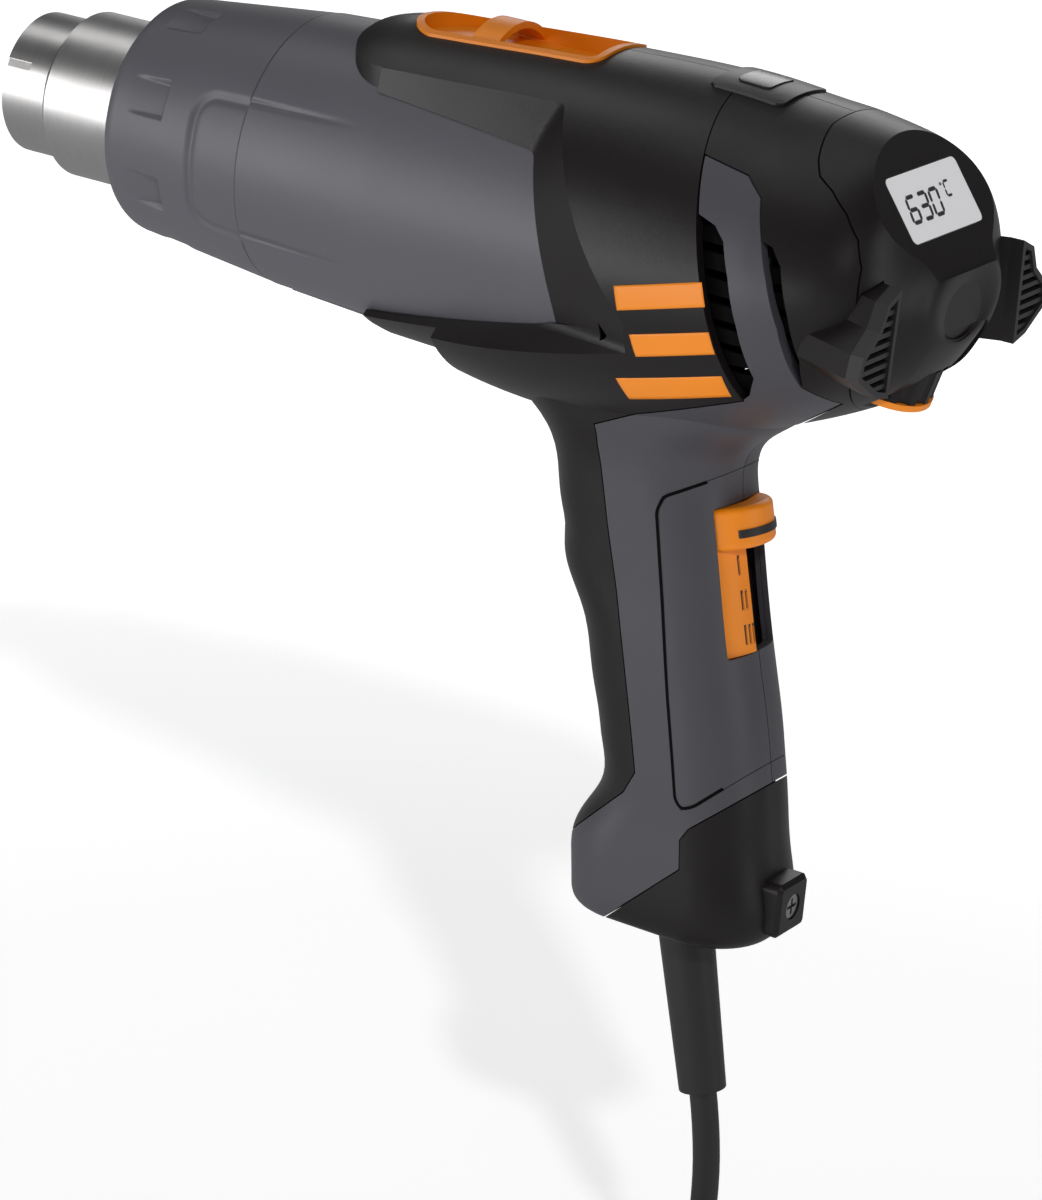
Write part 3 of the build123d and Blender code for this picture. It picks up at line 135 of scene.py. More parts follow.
def coil_points():
    """Control points of the stored turns: a circle whose radius and height follow place_at."""
    total = 360.0 * (len(PLACES) - 1) + (JOIN_ANGLE - LEAVE_ANGLE) % 360.0
    points = []
    for travel in np.arange(0.0, total + 1e-6, 360.0 / STEPS_PER_TURN):
        column, layer = place_at(travel)
        angle = math.radians(JOIN_ANGLE - travel)
        r = TURN_R + LEAD_D * column
        z = COIL_BOTTOM + LEAD_D * (1.5 + layer)        # layer -1 lies half a diameter up
        points.append((COIL_XY[0] + r * math.cos(angle), COIL_XY[1] + r * math.sin(angle), z))
    return points


lead_points = HANGING + coil_points() + TO_PLUG
print("control points of the lead:", len(lead_points))


# %% Lead curve
def nurbs_lead(name, points, diameter):
    """A round lead along one open NURBS spline."""
    curve = bpy.data.curves.new(name, "CURVE")
    curve.dimensions = "3D"
    spline = curve.splines.new("NURBS")
    spline.points.add(len(points) - 1)
    for point, place in zip(spline.points, points):
        point.co = (*place, 1.0)
        point.radius = diameter / 2
    spline.order_u = 3
    spline.use_endpoint_u = True
    curve.resolution_u = 6
    curve.bevel_depth = 1.0        # times each point's own radius
    curve.bevel_resolution = 5
    curve.use_fill_caps = True
    piece = bpy.data.objects.new(name, curve)
    bpy.context.scene.collection.objects.link(piece)
    return piece


lead = nurbs_lead("rubber_lead", lead_points, LEAD_D)
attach(lead, "housing")
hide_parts("mains_lead", "lead_coil", "plug_lead")


# %% [markdown]
# ## Studio
# The tool hangs over a pale sheet that fills the view, so one large plane is enough. It shines a
# little by itself, as a back-lit sheet does, which keeps it near white while the shadow stays soft
# and light. The plane is hidden from reflections, because a white floor mirrored in dark plastic
# would wash it out. The standard view transform keeps moulded colours as they are.

# %% Floor sheet
bpy.context.scene.view_settings.view_transform = "Standard"
FLOOR_SIZE = 12.0
SHEET_GAP = 0.0005         # the sheet lies this far below the lead
half = FLOOR_SIZE / 2
sheet_z = FLOOR_Z - SHEET_GAP
floor_mesh = bpy.data.meshes.new("studio_floor")
floor_mesh.from_pydata([(-half, -half, sheet_z), (half, -half, sheet_z),
                        (half, half, sheet_z), (-half, half, sheet_z)], [], [(0, 1, 2, 3)])
floor = bpy.data.objects.new("studio_floor", floor_mesh)
bpy.context.scene.collection.objects.link(floor)
floor.visible_glossy = False
print("floor height, m:", FLOOR_Z)


# %% [markdown]
# The lamps light the sheet well near the tool and hardly at all far away, which would leave grey
# corners. More lamps would throw more shadows, so the sheet's own glow rises with distance instead:
# a Vector Math node measures how far a point is from the origin, and a Map Range node turns that
# into glow.

# %% Floor finish
FLOOR_TONE = (0.70, 0.70, 0.70, 1.0)
GLOW_NEAR, GLOW_FAR = 0.572, 0.95
GLOW_STARTS, GLOW_ENDS = 0.35, 1.30     # metres from the origin
floor_material = bpy.data.materials.new("floor_sheet")
floor_material.use_nodes = True
sheet = floor_material.node_tree
sheet_shader = sheet.nodes["Principled BSDF"]
sheet_shader.inputs["Base Color"].default_value = FLOOR_TONE
sheet_shader.inputs["Roughness"].default_value = 0.9
sheet_shader.inputs["Specular IOR Level"].default_value = 0.0
sheet_shader.inputs["Emission Color"].default_value = (1, 1, 1, 1)
distance = sheet.nodes.new("ShaderNodeVectorMath")
distance.operation = "LENGTH"
sheet.links.new(sheet.nodes.new("ShaderNodeTexCoord").outputs["Object"], distance.inputs[0])
lift = sheet.nodes.new("ShaderNodeMapRange")
for label, value in (("From Min", GLOW_STARTS), ("From Max", GLOW_ENDS),
                     ("To Min", GLOW_NEAR), ("To Max", GLOW_FAR)):
    lift.inputs[label].default_value = value
sheet.links.new(distance.outputs["Value"], lift.inputs["Value"])
sheet.links.new(lift.outputs[0], sheet_shader.inputs["Emission Strength"])
floor_mesh.materials.append(floor_material)
print("floor glow, near and far:", GLOW_NEAR, GLOW_FAR)


# %% [markdown]
# ## Lights
# A distant lamp like the sun, high behind the viewer's right shoulder, throws the one shadow that
# is seen on the sheet, to the left of the grip. The shells themselves are lit by softboxes. Long
# ones above and to the left draw the bright lines along the barrel and the crown, a small one draws
# a streak along the nozzle, and one behind separates the dark shells from each other. Lamps shine
# along their own -Z, so each is turned until its +Z points from the middle of the tool to the lamp.

# %% Softboxes
TOOL_MIDDLE = (-0.03, 0.0, 0.03)


def lamp_axes(back):
    """Right, up and back axes of a lamp: back is given, right is level, and up completes them."""
    back = np.array(back, float) / np.linalg.norm(back)
    across = np.cross((0.0, 0.0, 1.0), back)
    across /= np.linalg.norm(across)
    return across, np.cross(back, across), back


def softbox(name, place, size, power):
    """A rectangular light at a place, turned towards the middle of the tool."""
    light = bpy.data.lights.new(name, "AREA")
    light.shape = "RECTANGLE"
    light.size, light.size_y = size
    light.energy = power
    lamp = bpy.data.objects.new(name, light)
    bpy.context.scene.collection.objects.link(lamp)
    lamp.matrix_world = pose_matrix(*lamp_axes(np.subtract(place, TOOL_MIDDLE)), place)


# name, place, width and height, power in watts
softbox("key", (0.95, -1.15, 0.95), (0.60, 0.60), 1.2)
softbox("overhead", (-0.25, 0.05, 1.20), (1.3, 0.45), 1.3)
softbox("nozzle_streak", (-0.76, 0.12, 1.13), (0.40, 0.30), 0.9)
softbox("left_wall", (-0.92, -0.95, 0.25), (0.45, 0.6), 3.7)
softbox("low_front", (-0.55, -1.20, -0.05), (1.1, 0.30), 3.0)
softbox("rim", (-0.35, 1.10, 0.55), (1.0, 0.4), 3.0)
softbox("right_wall", (1.15, 0.10, 0.35), (0.4, 0.9), 1.6)
print("softboxes:", len(bpy.data.lights))

# %% Shadow lamp
SUN_FROM = (0.867, -1.071, 1.0)
sun = bpy.data.lights.new("shadow_lamp", "SUN")
sun.energy = 0.95
sun.angle = math.radians(3.0)
sun_lamp = bpy.data.objects.new("shadow_lamp", sun)
bpy.context.scene.collection.objects.link(sun_lamp)
sun_lamp.matrix_world = pose_matrix(*lamp_axes(SUN_FROM), (0.0, 0.0, 0.0))
sun_lamp.visible_glossy = False
print("shadow falls away from:", SUN_FROM)


# %% [markdown]
# ## Room
# The room is brightest low down, like a studio with a white table, and has a dark band above the
# horizon. Polished metal shows that band as a dark stripe along each tube. The bands come from a
# ramp over the height of each direction. What is seen directly past the edge of the sheet is plain
# white, and only reflections see the bands.

# %% World
# place on the ramp, from straight down to straight up, and how bright the room is there
ROOM_STEPS = [(0.00, 0.30), (0.46, 0.34), (0.53, 0.06), (0.90, 0.06), (0.96, 0.14), (1.00, 0.12)]
COOLNESS = 1.03            # the room is slightly blue
world = bpy.data.worlds.new("studio_room")
world.use_nodes = True
room = world.node_tree
direction = room.nodes.new("ShaderNodeTexCoord").outputs["Generated"]
room_axes = room.nodes.new("ShaderNodeSeparateXYZ")
room.links.new(direction, room_axes.inputs[0])
level = room.nodes.new("ShaderNodeMapRange")
level.inputs["From Min"].default_value = -1.0
room.links.new(room_axes.outputs["Z"], level.inputs["Value"])
bands = room.nodes.new("ShaderNodeValToRGB")
stops = bands.color_ramp.elements
while len(stops) < len(ROOM_STEPS):
    stops.new(0.5)
for stop, (place, glow) in zip(stops, ROOM_STEPS):
    stop.position = place
    stop.color = (glow, glow, glow * COOLNESS, 1.0)
room.links.new(level.outputs[0], bands.inputs[0])
room.links.new(bands.outputs[0], room.nodes["Background"].inputs["Color"])
backdrop = room.nodes.new("ShaderNodeBackground")
chooser = room.nodes.new("ShaderNodeMixShader")
seen = room.nodes.new("ShaderNodeLightPath").outputs["Is Camera Ray"]
room.links.new(seen, chooser.inputs[0])
room.links.new(room.nodes["Background"].outputs[0], chooser.inputs[1])
room.links.new(backdrop.outputs[0], chooser.inputs[2])
room.links.new(chooser.outputs[0], room.nodes["World Output"].inputs["Surface"])
backdrop.inputs["Color"].default_value = (1.0, 1.0, 1.0, 1.0)
bpy.context.scene.world = world
print("room steps:", len(ROOM_STEPS))


# %% [markdown]
# ## Shared surface effects
# Moulded housings carry a fine spark-eroded grain, and no moulding is one even tone. Both effects
# are node groups, so that every plastic uses the same recipe with its own numbers. A group puts out
# a height for a Bump node and a tone that multiplies the colour. The metal group stretches noise
# round the barrel's axis, which is how turned and brushed steel looks.

# %% Node helpers
def new_group(name, inputs, outputs):
    """A shader node group with named number sockets and its two end nodes."""
    tree = bpy.data.node_groups.new(name, "ShaderNodeTree")
    for label, value in inputs:
        socket = tree.interface.new_socket(label, in_out="INPUT", socket_type="NodeSocketFloat")
        socket.default_value = value
    for label in outputs:
        tree.interface.new_socket(label, in_out="OUTPUT", socket_type="NodeSocketFloat")
    return tree, tree.nodes.new("NodeGroupInput"), tree.nodes.new("NodeGroupOutput")


def math_node(tree, operation, first, second=None, third=None, clamp=False):
    """A Math node fed by sockets or numbers; its result socket is returned."""
    node = tree.nodes.new("ShaderNodeMath")
    node.operation = operation
    node.use_clamp = clamp
    for k, value in enumerate((first, second, third)):
        if value is None:
            continue
        if isinstance(value, (int, float)):
            node.inputs[k].default_value = value
        else:
            tree.links.new(value, node.inputs[k])
    return node.outputs[0]


def noise_node(tree, vector, scale, detail, rough=0.5):
    """A 3-D Noise texture; its factor socket is returned."""
    node = tree.nodes.new("ShaderNodeTexNoise")
    node.inputs["Detail"].default_value = detail
    node.inputs["Roughness"].default_value = rough
    if isinstance(scale, (int, float)):
        node.inputs["Scale"].default_value = scale
    else:
        tree.links.new(scale, node.inputs["Scale"])
    tree.links.new(vector, node.inputs["Vector"])
    return node.outputs["Fac"]


# %% Moulded grain group
PIT_SHARE, LUMP_SHARE = 0.65, 0.35      # of the grain's height
LUMP_SCALE = 0.42                       # lumps per pit
BLOTCHES = 28.0                         # slow unevenness, per metre
SHEEN_SWING = 0.05


def moulded_grain():
    """Fine pits over a slow unevenness: noise at the grain's scale, and much wider noise."""
    tree, start, end = new_group("moulded_grain", [("Grain per m", 1500.0), ("Unevenness", 0.06)],
                                 ["Height", "Tone", "Sheen change"])
    place = tree.nodes.new("ShaderNodeTexCoord").outputs["Object"]
    fine = noise_node(tree, place, start.outputs["Grain per m"], 1.5, 0.55)
    coarse_scale = math_node(tree, "MULTIPLY", start.outputs["Grain per m"], LUMP_SCALE)
    coarse = noise_node(tree, place, coarse_scale, 1.0)
    lumps = math_node(tree, "MULTIPLY", coarse, LUMP_SHARE)
    both = math_node(tree, "MULTIPLY_ADD", fine, PIT_SHARE, lumps)
    slow = noise_node(tree, place, BLOTCHES, 3.0)
    swing = math_node(tree, "MULTIPLY_ADD", slow, 2.0, -1.0)
    tone = math_node(tree, "MULTIPLY_ADD", swing, start.outputs["Unevenness"], 1.0)
    tree.links.new(both, end.inputs["Height"])
    tree.links.new(tone, end.inputs["Tone"])
    tree.links.new(math_node(tree, "MULTIPLY", swing, SHEEN_SWING), end.inputs["Sheen change"])
    return tree


GRAIN = moulded_grain()
print("grain group nodes:", len(GRAIN.nodes))


# %% Turned metal group
ROUND_STRETCH = 1.6                     # noise cells per radian round the axis
STREAK_TONE, DARKEST_TONE = 0.22, 0.88
SMUDGES = 60.0                          # per metre
SMUDGE_GLOSS, STREAK_GLOSS = 0.12, 0.1


def turned_metal():
    """Streaks round the barrel axis: noise over distance along it, much longer round it."""
    tree, start, end = new_group("turned_metal", [("Lines per m", 2600.0)],
                                 ["Height", "Tone", "Gloss change"])
    place = tree.nodes.new("ShaderNodeTexCoord").outputs["Object"]
    axes = tree.nodes.new("ShaderNodeSeparateXYZ")
    tree.links.new(place, axes.inputs[0])
    height = math_node(tree, "SUBTRACT", axes.outputs["Z"], AXIS_HEIGHT)
    angle = math_node(tree, "ARCTAN2", axes.outputs["Y"], height)
    joined = tree.nodes.new("ShaderNodeCombineXYZ")
    along = math_node(tree, "MULTIPLY", axes.outputs["X"], start.outputs["Lines per m"])
    tree.links.new(along, joined.inputs["X"])
    tree.links.new(math_node(tree, "MULTIPLY", angle, ROUND_STRETCH), joined.inputs["Y"])
    streaks = noise_node(tree, joined.outputs[0], 1.0, 3.0, 0.65)
    slow = noise_node(tree, place, SMUDGES, 2.0)
    tree.links.new(streaks, end.inputs["Height"])
    tone = math_node(tree, "MULTIPLY_ADD", streaks, STREAK_TONE, DARKEST_TONE)
    tree.links.new(tone, end.inputs["Tone"])
    streak_gloss = math_node(tree, "MULTIPLY", streaks, STREAK_GLOSS)
    change = math_node(tree, "MULTIPLY_ADD", slow, SMUDGE_GLOSS, streak_gloss)
    tree.links.new(change, end.inputs["Gloss change"])
    return tree


TURNED = turned_metal()
print("shared groups:", [g.name for g in bpy.data.node_groups])


# %% [markdown]
# ## Finishes
# Each finish is a Principled shader whose colour, roughness and bump come from a shared group. What
# is the same all over a piece, such as how strongly its edges mirror, is a plain number on the
# shader itself. The grey and the black shells have the same grain, a little finer on the grey, and
# the rubber parts are duller and coarser.

# %% Finish helpers
FINISHES = {}
GRAIN_DEPTH, LINE_DEPTH = 0.00006, 0.00002      # of the bump on plastic and on metal


def finish(name, colour, rough, group, bump, depth, inputs, shader_values):
    """A material whose tone, roughness and bump follow a shared group."""
    material = bpy.data.materials.new(name)
    material.use_nodes = True
    tree = material.node_tree
    shader = tree.nodes["Principled BSDF"]
    effect = tree.nodes.new("ShaderNodeGroup")
    effect.node_tree = group
    for label, value in inputs:
        effect.inputs[label].default_value = value
    tint = tree.nodes.new("ShaderNodeVectorMath")
    tint.operation = "SCALE"
    tint.inputs[0].default_value = colour
    tree.links.new(effect.outputs["Tone"], tint.inputs["Scale"])
    tree.links.new(tint.outputs[0], shader.inputs["Base Color"])
    uneven = math_node(tree, "ADD", effect.outputs[2], rough, clamp=True)
    tree.links.new(uneven, shader.inputs["Roughness"])
    relief = tree.nodes.new("ShaderNodeBump")
    relief.inputs["Strength"].default_value = bump
    relief.inputs["Distance"].default_value = depth
    tree.links.new(effect.outputs["Height"], relief.inputs["Height"])
    tree.links.new(relief.outputs[0], shader.inputs["Normal"])
    for label, value in shader_values:
        shader.inputs[label].default_value = value
    FINISHES[name] = material
    return material


def plastic(name, colour, rough, bump, grain=1500.0, uneven=0.05, values=()):
    """A moulded plastic or rubber."""
    return finish(name, colour, rough, GRAIN, bump, GRAIN_DEPTH,
                  [("Grain per m", grain), ("Unevenness", uneven)], values)


def metal(name, colour, rough, bump=0.15, lines=2600.0):
    """A turned or brushed metal."""
    return finish(name, colour, rough, TURNED, bump, LINE_DEPTH, [("Lines per m", lines)],
                  [("Metallic", 1.0)])


# %% The tool's finishes
# each plastic: name, colour, roughness, bump strength, grain per metre, unevenness
BARREL_GREY = (0.090, 0.088, 0.101)
plastic("grey_plastic", (0.061, 0.0595, 0.069), 0.44, 0.5, 1700.0)
plastic("guard_grey", BARREL_GREY, 0.44, 0.5, 1700.0)
plastic("black_plastic", (0.0095, 0.0078, 0.0076), 0.38, 0.5, 1500.0,
        values=[("Specular IOR Level", 0.42)])
plastic("black_rubber", (0.021, 0.0195, 0.0195), 0.46, 0.3, 1100.0)
plastic("orange_plastic", (0.82, 0.235, 0.004), 0.42, 0.18, 1200.0, 0.03)
plastic("red_lens", (0.036, 0.032, 0.032), 0.22, 0.1, 900.0, 0.03)
plastic("dark_recess", (0.012, 0.008, 0.007), 0.6, 0.3)
# painted shade: a near-black that reflects little, for the shade in the deep vent screens, the
# guard's joint, the inlay groove and the seams
plastic("painted_shade_black", (0.0025, 0.0022, 0.0022), 0.85, 0.3,
        values=[("Specular IOR Level", 0.12)])
plastic("display_panel", (0.30, 0.29, 0.295), 0.40, 0.05, 900.0, 0.02)
# painted light: a weak white glow brightens the display's face beyond its colour
plastic("display_face", (0.78, 0.78, 0.80), 0.30, 0.05, 900.0, 0.02,
        values=[("Emission Color", (1.0, 1.0, 1.0, 1.0)), ("Emission Strength", 0.10)])
# the dark of the display's figures, and the painted shade in the knob's strokes
plastic("ink_and_painted_shade", (0.030, 0.030, 0.034), 0.5, 0.05, 900.0, 0.02)
plastic("ceramic", (0.78, 0.74, 0.66), 0.75, 0.4, 700.0, 0.08)
plastic("mica", (0.52, 0.47, 0.37), 0.5, 0.4, 500.0, 0.15)
plastic("board_green", (0.012, 0.050, 0.024), 0.45, 0.1, 900.0)
# each metal: name, colour, roughness, bump strength, lines per metre
metal("stainless", (0.62, 0.612, 0.605), 0.25)
metal("heating_wire", (0.30, 0.26, 0.24), 0.45)
metal("screw_steel", (0.45, 0.45, 0.46), 0.30, 0.1, 1500.0)
metal("motor_steel", (0.42, 0.42, 0.43), 0.38, 0.1, 900.0)
metal("plated_brass", (0.72, 0.70, 0.66), 0.18, 0.05, 1800.0)
print("finishes:", len(FINISHES))


# %% [markdown]
# ## Creases in the barrel
# Two shallow folds run back along each flank of the barrel from the guard's frame and fade out.
# They are only some tenths of a millimetre deep, so they are drawn as a height in the shader: a
# narrow dip over the angle round the barrel's axis, times a ramp along it.

# %% Crease finish
CREASES = [(60.0, 0.111), (117.0, 0.119)]     # angle from the top, and where it has faded out
CREASE_R = 0.034                              # barrel radius there
CREASE_WIDTH, CREASE_DEPTH = 0.0008, 0.0007
CREASE_FADE = 0.030


def crease_height(tree, place):
    """Minus the sum of exp(-(arc / width) squared) times a ramp that falls to nothing rearwards."""
    axes = tree.nodes.new("ShaderNodeSeparateXYZ")
    tree.links.new(place, axes.inputs[0])
    rise = math_node(tree, "SUBTRACT", axes.outputs["Z"], AXIS_HEIGHT)
    turn = math_node(tree, "ARCTAN2", math_node(tree, "ABSOLUTE", axes.outputs["Y"]), rise)
    total = None
    for angle, faded in CREASES:
        beside = math_node(tree, "SUBTRACT", turn, math.radians(angle))
        arc = math_node(tree, "MULTIPLY", beside, CREASE_R)
        square = math_node(tree, "MULTIPLY", arc, arc)
        narrow = math_node(tree, "MULTIPLY", square, -1.0 / CREASE_WIDTH ** 2)
        dip = math_node(tree, "EXPONENT", narrow)
        ahead = math_node(tree, "SUBTRACT", MOUTH_X + faded, axes.outputs["X"])
        ramp = math_node(tree, "MULTIPLY", ahead, 1.0 / CREASE_FADE, clamp=True)
        part = math_node(tree, "MULTIPLY", dip, ramp)
        total = part if total is None else math_node(tree, "ADD", total, part)
    return math_node(tree, "MULTIPLY", total, -1.0)


barrel_coat = plastic("barrel_grey", BARREL_GREY, 0.44, 0.5, 1700.0)
barrel_tree = barrel_coat.node_tree
fold = barrel_tree.nodes.new("ShaderNodeBump")
fold.inputs["Strength"].default_value = 1.0
fold.inputs["Distance"].default_value = CREASE_DEPTH
barrel_place = barrel_tree.nodes.new("ShaderNodeTexCoord").outputs["Object"]
barrel_tree.links.new(crease_height(barrel_tree, barrel_place), fold.inputs["Height"])
grain_bump = barrel_tree.nodes["Principled BSDF"].inputs["Normal"].links[0].from_node
barrel_tree.links.new(grain_bump.outputs[0], fold.inputs["Normal"])
barrel_tree.links.new(fold.outputs[0], barrel_tree.nodes["Principled BSDF"].inputs["Normal"])
print("creases:", len(CREASES))


# %% [markdown]
# ## Finishes on the model
# Each node of the model already has the name of a finish in its record, so a loop can dress them
# all, which is surer than picking materials by hand. Three nodes have a version of their own: the
# barrel has its folds, and the two vent screens get a near-black that is painted shade, the shade
# deep in their recess, in place of their own black. The lead takes the same rubber as its bend
# protector and its plug.

# %% Finish of every model node
OWN_FINISH = {"barrel_housing": "barrel_grey", "air_screen_left": "painted_shade_black",
              "air_screen_right": "painted_shade_black"}
slots = {entry["node"]: entry["material_slot"] for entry in frame["record"]["subparts"]}
for node, piece in NODES.items():
    coat = FINISHES[OWN_FINISH.get(node, slots[node])]
    if not piece.material_slots:
        piece.data.materials.append(coat)
    for holder in piece.material_slots:
        holder.material = coat
lead.data.materials.append(FINISHES["black_rubber"])
print("nodes finished:", len(slots))


# %% [markdown]
# ## Grids in numpy
# Most of the pieces that follow are surfaces over a grid of two parameters. Numpy works out every
# point of the grid at once, and one helper turns the grid into a mesh, so a shape is only its
# formula. A grid may close on itself in one direction, like a tube, or in both, like a ring.

# %% Grid helper
def grid_piece(name, points, coat, body="housing", close_rows=False, close_columns=False,
               outward=None, film=0.0):
    """A mesh from a (rows, columns, 3) array: each cell of the grid becomes one face.

    A closed shape has its faces turned outwards. A film has them turned to the given direction, and
    gets its thickness behind them.
    """
    rows, columns = points.shape[:2]
    row = np.arange(rows if close_rows else rows - 1)
    column = np.arange(columns if close_columns else columns - 1)
    r, c = np.meshgrid(row, column, indexing="ij")
    r2, c2 = (r + 1) % rows, (c + 1) % columns
    faces = np.stack([r * columns + c, r * columns + c2, r2 * columns + c2, r2 * columns + c], -1)
    return mesh_piece(name, points.reshape(-1, 3), faces.reshape(-1, 4), coat, body,
                      outward, film)


# %% Mesh helper
def mesh_piece(name, points, faces, coat, body="housing", outward=None, film=0.0):
    """A piece from points and faces, with its faces turned the right way."""
    mesh = bpy.data.meshes.new(name)
    mesh.from_pydata(points.tolist(), [], faces.tolist())
    if outward is None:
        shape = bmesh.new()
        shape.from_mesh(mesh)
        bmesh.ops.recalc_face_normals(shape, faces=shape.faces)
        shape.to_mesh(mesh)
        shape.free()
    else:
        normals = np.empty(len(mesh.polygons) * 3)
        mesh.polygons.foreach_get("normal", normals)
        if normals.reshape(-1, 3).mean(0) @ np.array(outward) < 0:
            mesh.flip_normals()
    rounded = faces.shape[1] == 4       # the display's six-sided segments are flat
    mesh.polygons.foreach_set("use_smooth", np.full(len(mesh.polygons), rounded))
    mesh.materials.append(FINISHES[coat])
    piece = bpy.data.objects.new(name, mesh)
    bpy.context.scene.collection.objects.link(piece)
    if film:
        wall = piece.modifiers.new("film", "SOLIDIFY")
        wall.thickness = film
        wall.offset = -1.0
    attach(piece, body)
    return piece


# %% [markdown]
# ## The heat guard
# The grey guard round the nozzle is one turned moulding with eight finger pockets near its front
# lip and a shallow frame pressed into each flank. Cutting these with booleans would give hard, thin
# edges. Here the guard is a closed profile carried round the barrel axis, and the radius of its
# outer side is lowered by two relief functions of place and angle, so every edge is soft, as in a
# moulding.

# %% Pockets and frames
# places along the guard are distances from the nozzle's mouth
POCKETS = 8
POCKET_START, POCKET_END = 0.0452, 0.0560
POCKET_DEPTH = 0.0016
POCKET_EDGES = (7.9, 9.1)  # its side wall, in degrees from its middle
FRAME_FRONT, FRAME_HALF, FRAME_CORNER = 0.0656, 0.0158, 0.0055
FRAME_R = 0.0308           # guard radius at the frame
FRAME_ANGLE = math.radians(90.5)       # of its middle, from the top
GROOVE_DEPTH, GROOVE_HALF = 0.00070, 0.0010
SUNK_DEPTH, SUNK_EDGE = 0.00035, (-0.0014, 0.0006)     # its soft edge, by distance from the groove


def smooth_step(value, start, stop):
    """0 below start, 1 above stop, and an S-curve between."""
    t = np.clip((value - start) / (stop - start), 0.0, 1.0)
    return t * t * (3 - 2 * t)


def pocket_relief(x, angle):
    """Eight pockets: a ramp that starts at nothing and deepens rearwards to a steep end wall."""
    pitch = 360.0 / POCKETS
    turn = (np.degrees(angle) % pitch) - pitch / 2
    across = 1.0 - smooth_step(np.abs(turn), *POCKET_EDGES)
    end_wall = 1.0 - smooth_step(x, POCKET_END - 0.0002, POCKET_END + 0.0002)
    ramp = np.clip((x - POCKET_START) / (POCKET_END - POCKET_START), 0.0, 1.0)
    return POCKET_DEPTH * across * end_wall * ramp


def frame_relief(x, angle):
    """A groove along a rounded rectangle on each flank, open to the rear, and a sunk middle."""
    around = FRAME_R * np.abs(np.abs(angle) - FRAME_ANGLE)
    dx = np.maximum(FRAME_FRONT + FRAME_CORNER - x, 0.0)
    dy = np.maximum(around - (FRAME_HALF - FRAME_CORNER), 0.0)
    distance = np.where(dx > 0, np.hypot(dx, dy), dy) - FRAME_CORNER
    groove = np.exp(-(distance / GROOVE_HALF) ** 2)
    inside = 1.0 - smooth_step(distance, *SUNK_EDGE)
    return GROOVE_DEPTH * groove + SUNK_DEPTH * inside


# %% Guard surface
GUARD_FRONT, GUARD_REAR = 0.0383, 0.0802
GUARD_LIP_R, GUARD_FRONT_R, GUARD_REAR_R = 0.0268, 0.0283, 0.0323
GUARD_MOUTH_R, GUARD_BORE_R = 0.0225, 0.0296
LIP_LENGTH = 0.0038        # the rounded front lip
ROWS, COLUMNS = 130, 480   # along the outer side and round it


def guard_points():
    """The closed profile as (x, radius) pairs, outer side first, spun through 360 degrees."""
    x_out = np.linspace(GUARD_FRONT + LIP_LENGTH, GUARD_REAR - 0.0003, ROWS)
    slope = (GUARD_REAR_R - GUARD_FRONT_R) / (GUARD_REAR - x_out[0])
    r_out = GUARD_FRONT_R + slope * (x_out - x_out[0])
    bow = np.linspace(0.0, math.pi / 2, 10)[1:]
    x_lip = GUARD_FRONT + LIP_LENGTH * (1 - np.sin(bow))
    lip_start_r = GUARD_LIP_R - 0.0012
    r_lip = lip_start_r + (GUARD_FRONT_R - lip_start_r) * np.cos(bow)
    lip = np.stack([x_lip, r_lip], 1)[::-1]
    inner = np.array([(GUARD_REAR, GUARD_REAR_R - 0.0008), (GUARD_REAR, GUARD_BORE_R),
                      (0.0700, GUARD_BORE_R), (0.0692, GUARD_BORE_R - 0.0010),
                      (0.0560, 0.0272), (0.0430, 0.0259), (0.0407, GUARD_MOUTH_R),
                      (GUARD_FRONT + 0.0004, GUARD_MOUTH_R),
                      (GUARD_FRONT, GUARD_MOUTH_R + 0.0012), (GUARD_FRONT, GUARD_LIP_R - 0.0014)])
    profile = np.concatenate([lip, np.stack([x_out, r_out], 1), inner])
    is_outer = np.arange(len(profile)) < len(lip) + len(x_out)
    angle = np.linspace(0.0, 2 * math.pi, COLUMNS, endpoint=False)
    x, turn = np.meshgrid(profile[:, 0], angle, indexing="ij")
    signed = turn - 2 * math.pi * (turn > math.pi)
    relief = pocket_relief(x, turn) + frame_relief(x, signed)
    radius = profile[:, 1:2] - is_outer[:, None] * relief
    return np.stack([x + MOUTH_X, -radius * np.sin(turn), AXIS_HEIGHT + radius * np.cos(turn)], -1)


guard = grid_piece("heat_guard", guard_points(), "guard_grey", "sleeve",
                   close_rows=True, close_columns=True)
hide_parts("protective_sleeve")
print("guard faces:", len(guard.data.polygons))


# %% [markdown]
# ## The dark ring behind the guard
# The guard is a separate sleeve, so a fine joint is left between it and the barrel. A thin ring
# fills it and lets no light through, and its near-black is painted shade, the shade deep in the
# joint. A torus thin enough for so narrow a joint would not fill its depth, so the ring is a
# rectangle of four points carried round the barrel's axis, closed both ways like a ring.

# %% Guard joint shade
JOINT_SHADE_FRONT, JOINT_SHADE_REAR = 0.08022, 0.08038
JOINT_SHADE_IN, JOINT_SHADE_OUT = 0.0300, 0.0315
joint_shade_x = np.array([JOINT_SHADE_FRONT, JOINT_SHADE_FRONT, JOINT_SHADE_REAR, JOINT_SHADE_REAR])[:, None] + MOUTH_X
joint_shade_r = np.array([JOINT_SHADE_IN, JOINT_SHADE_OUT, JOINT_SHADE_OUT, JOINT_SHADE_IN])[:, None]
joint_shade_turn = np.linspace(0.0, 2 * math.pi, 240, endpoint=False)
joint_shade_points = np.stack([np.repeat(joint_shade_x, len(joint_shade_turn), 1), -joint_shade_r * np.sin(joint_shade_turn),
                        AXIS_HEIGHT + joint_shade_r * np.cos(joint_shade_turn)], -1)
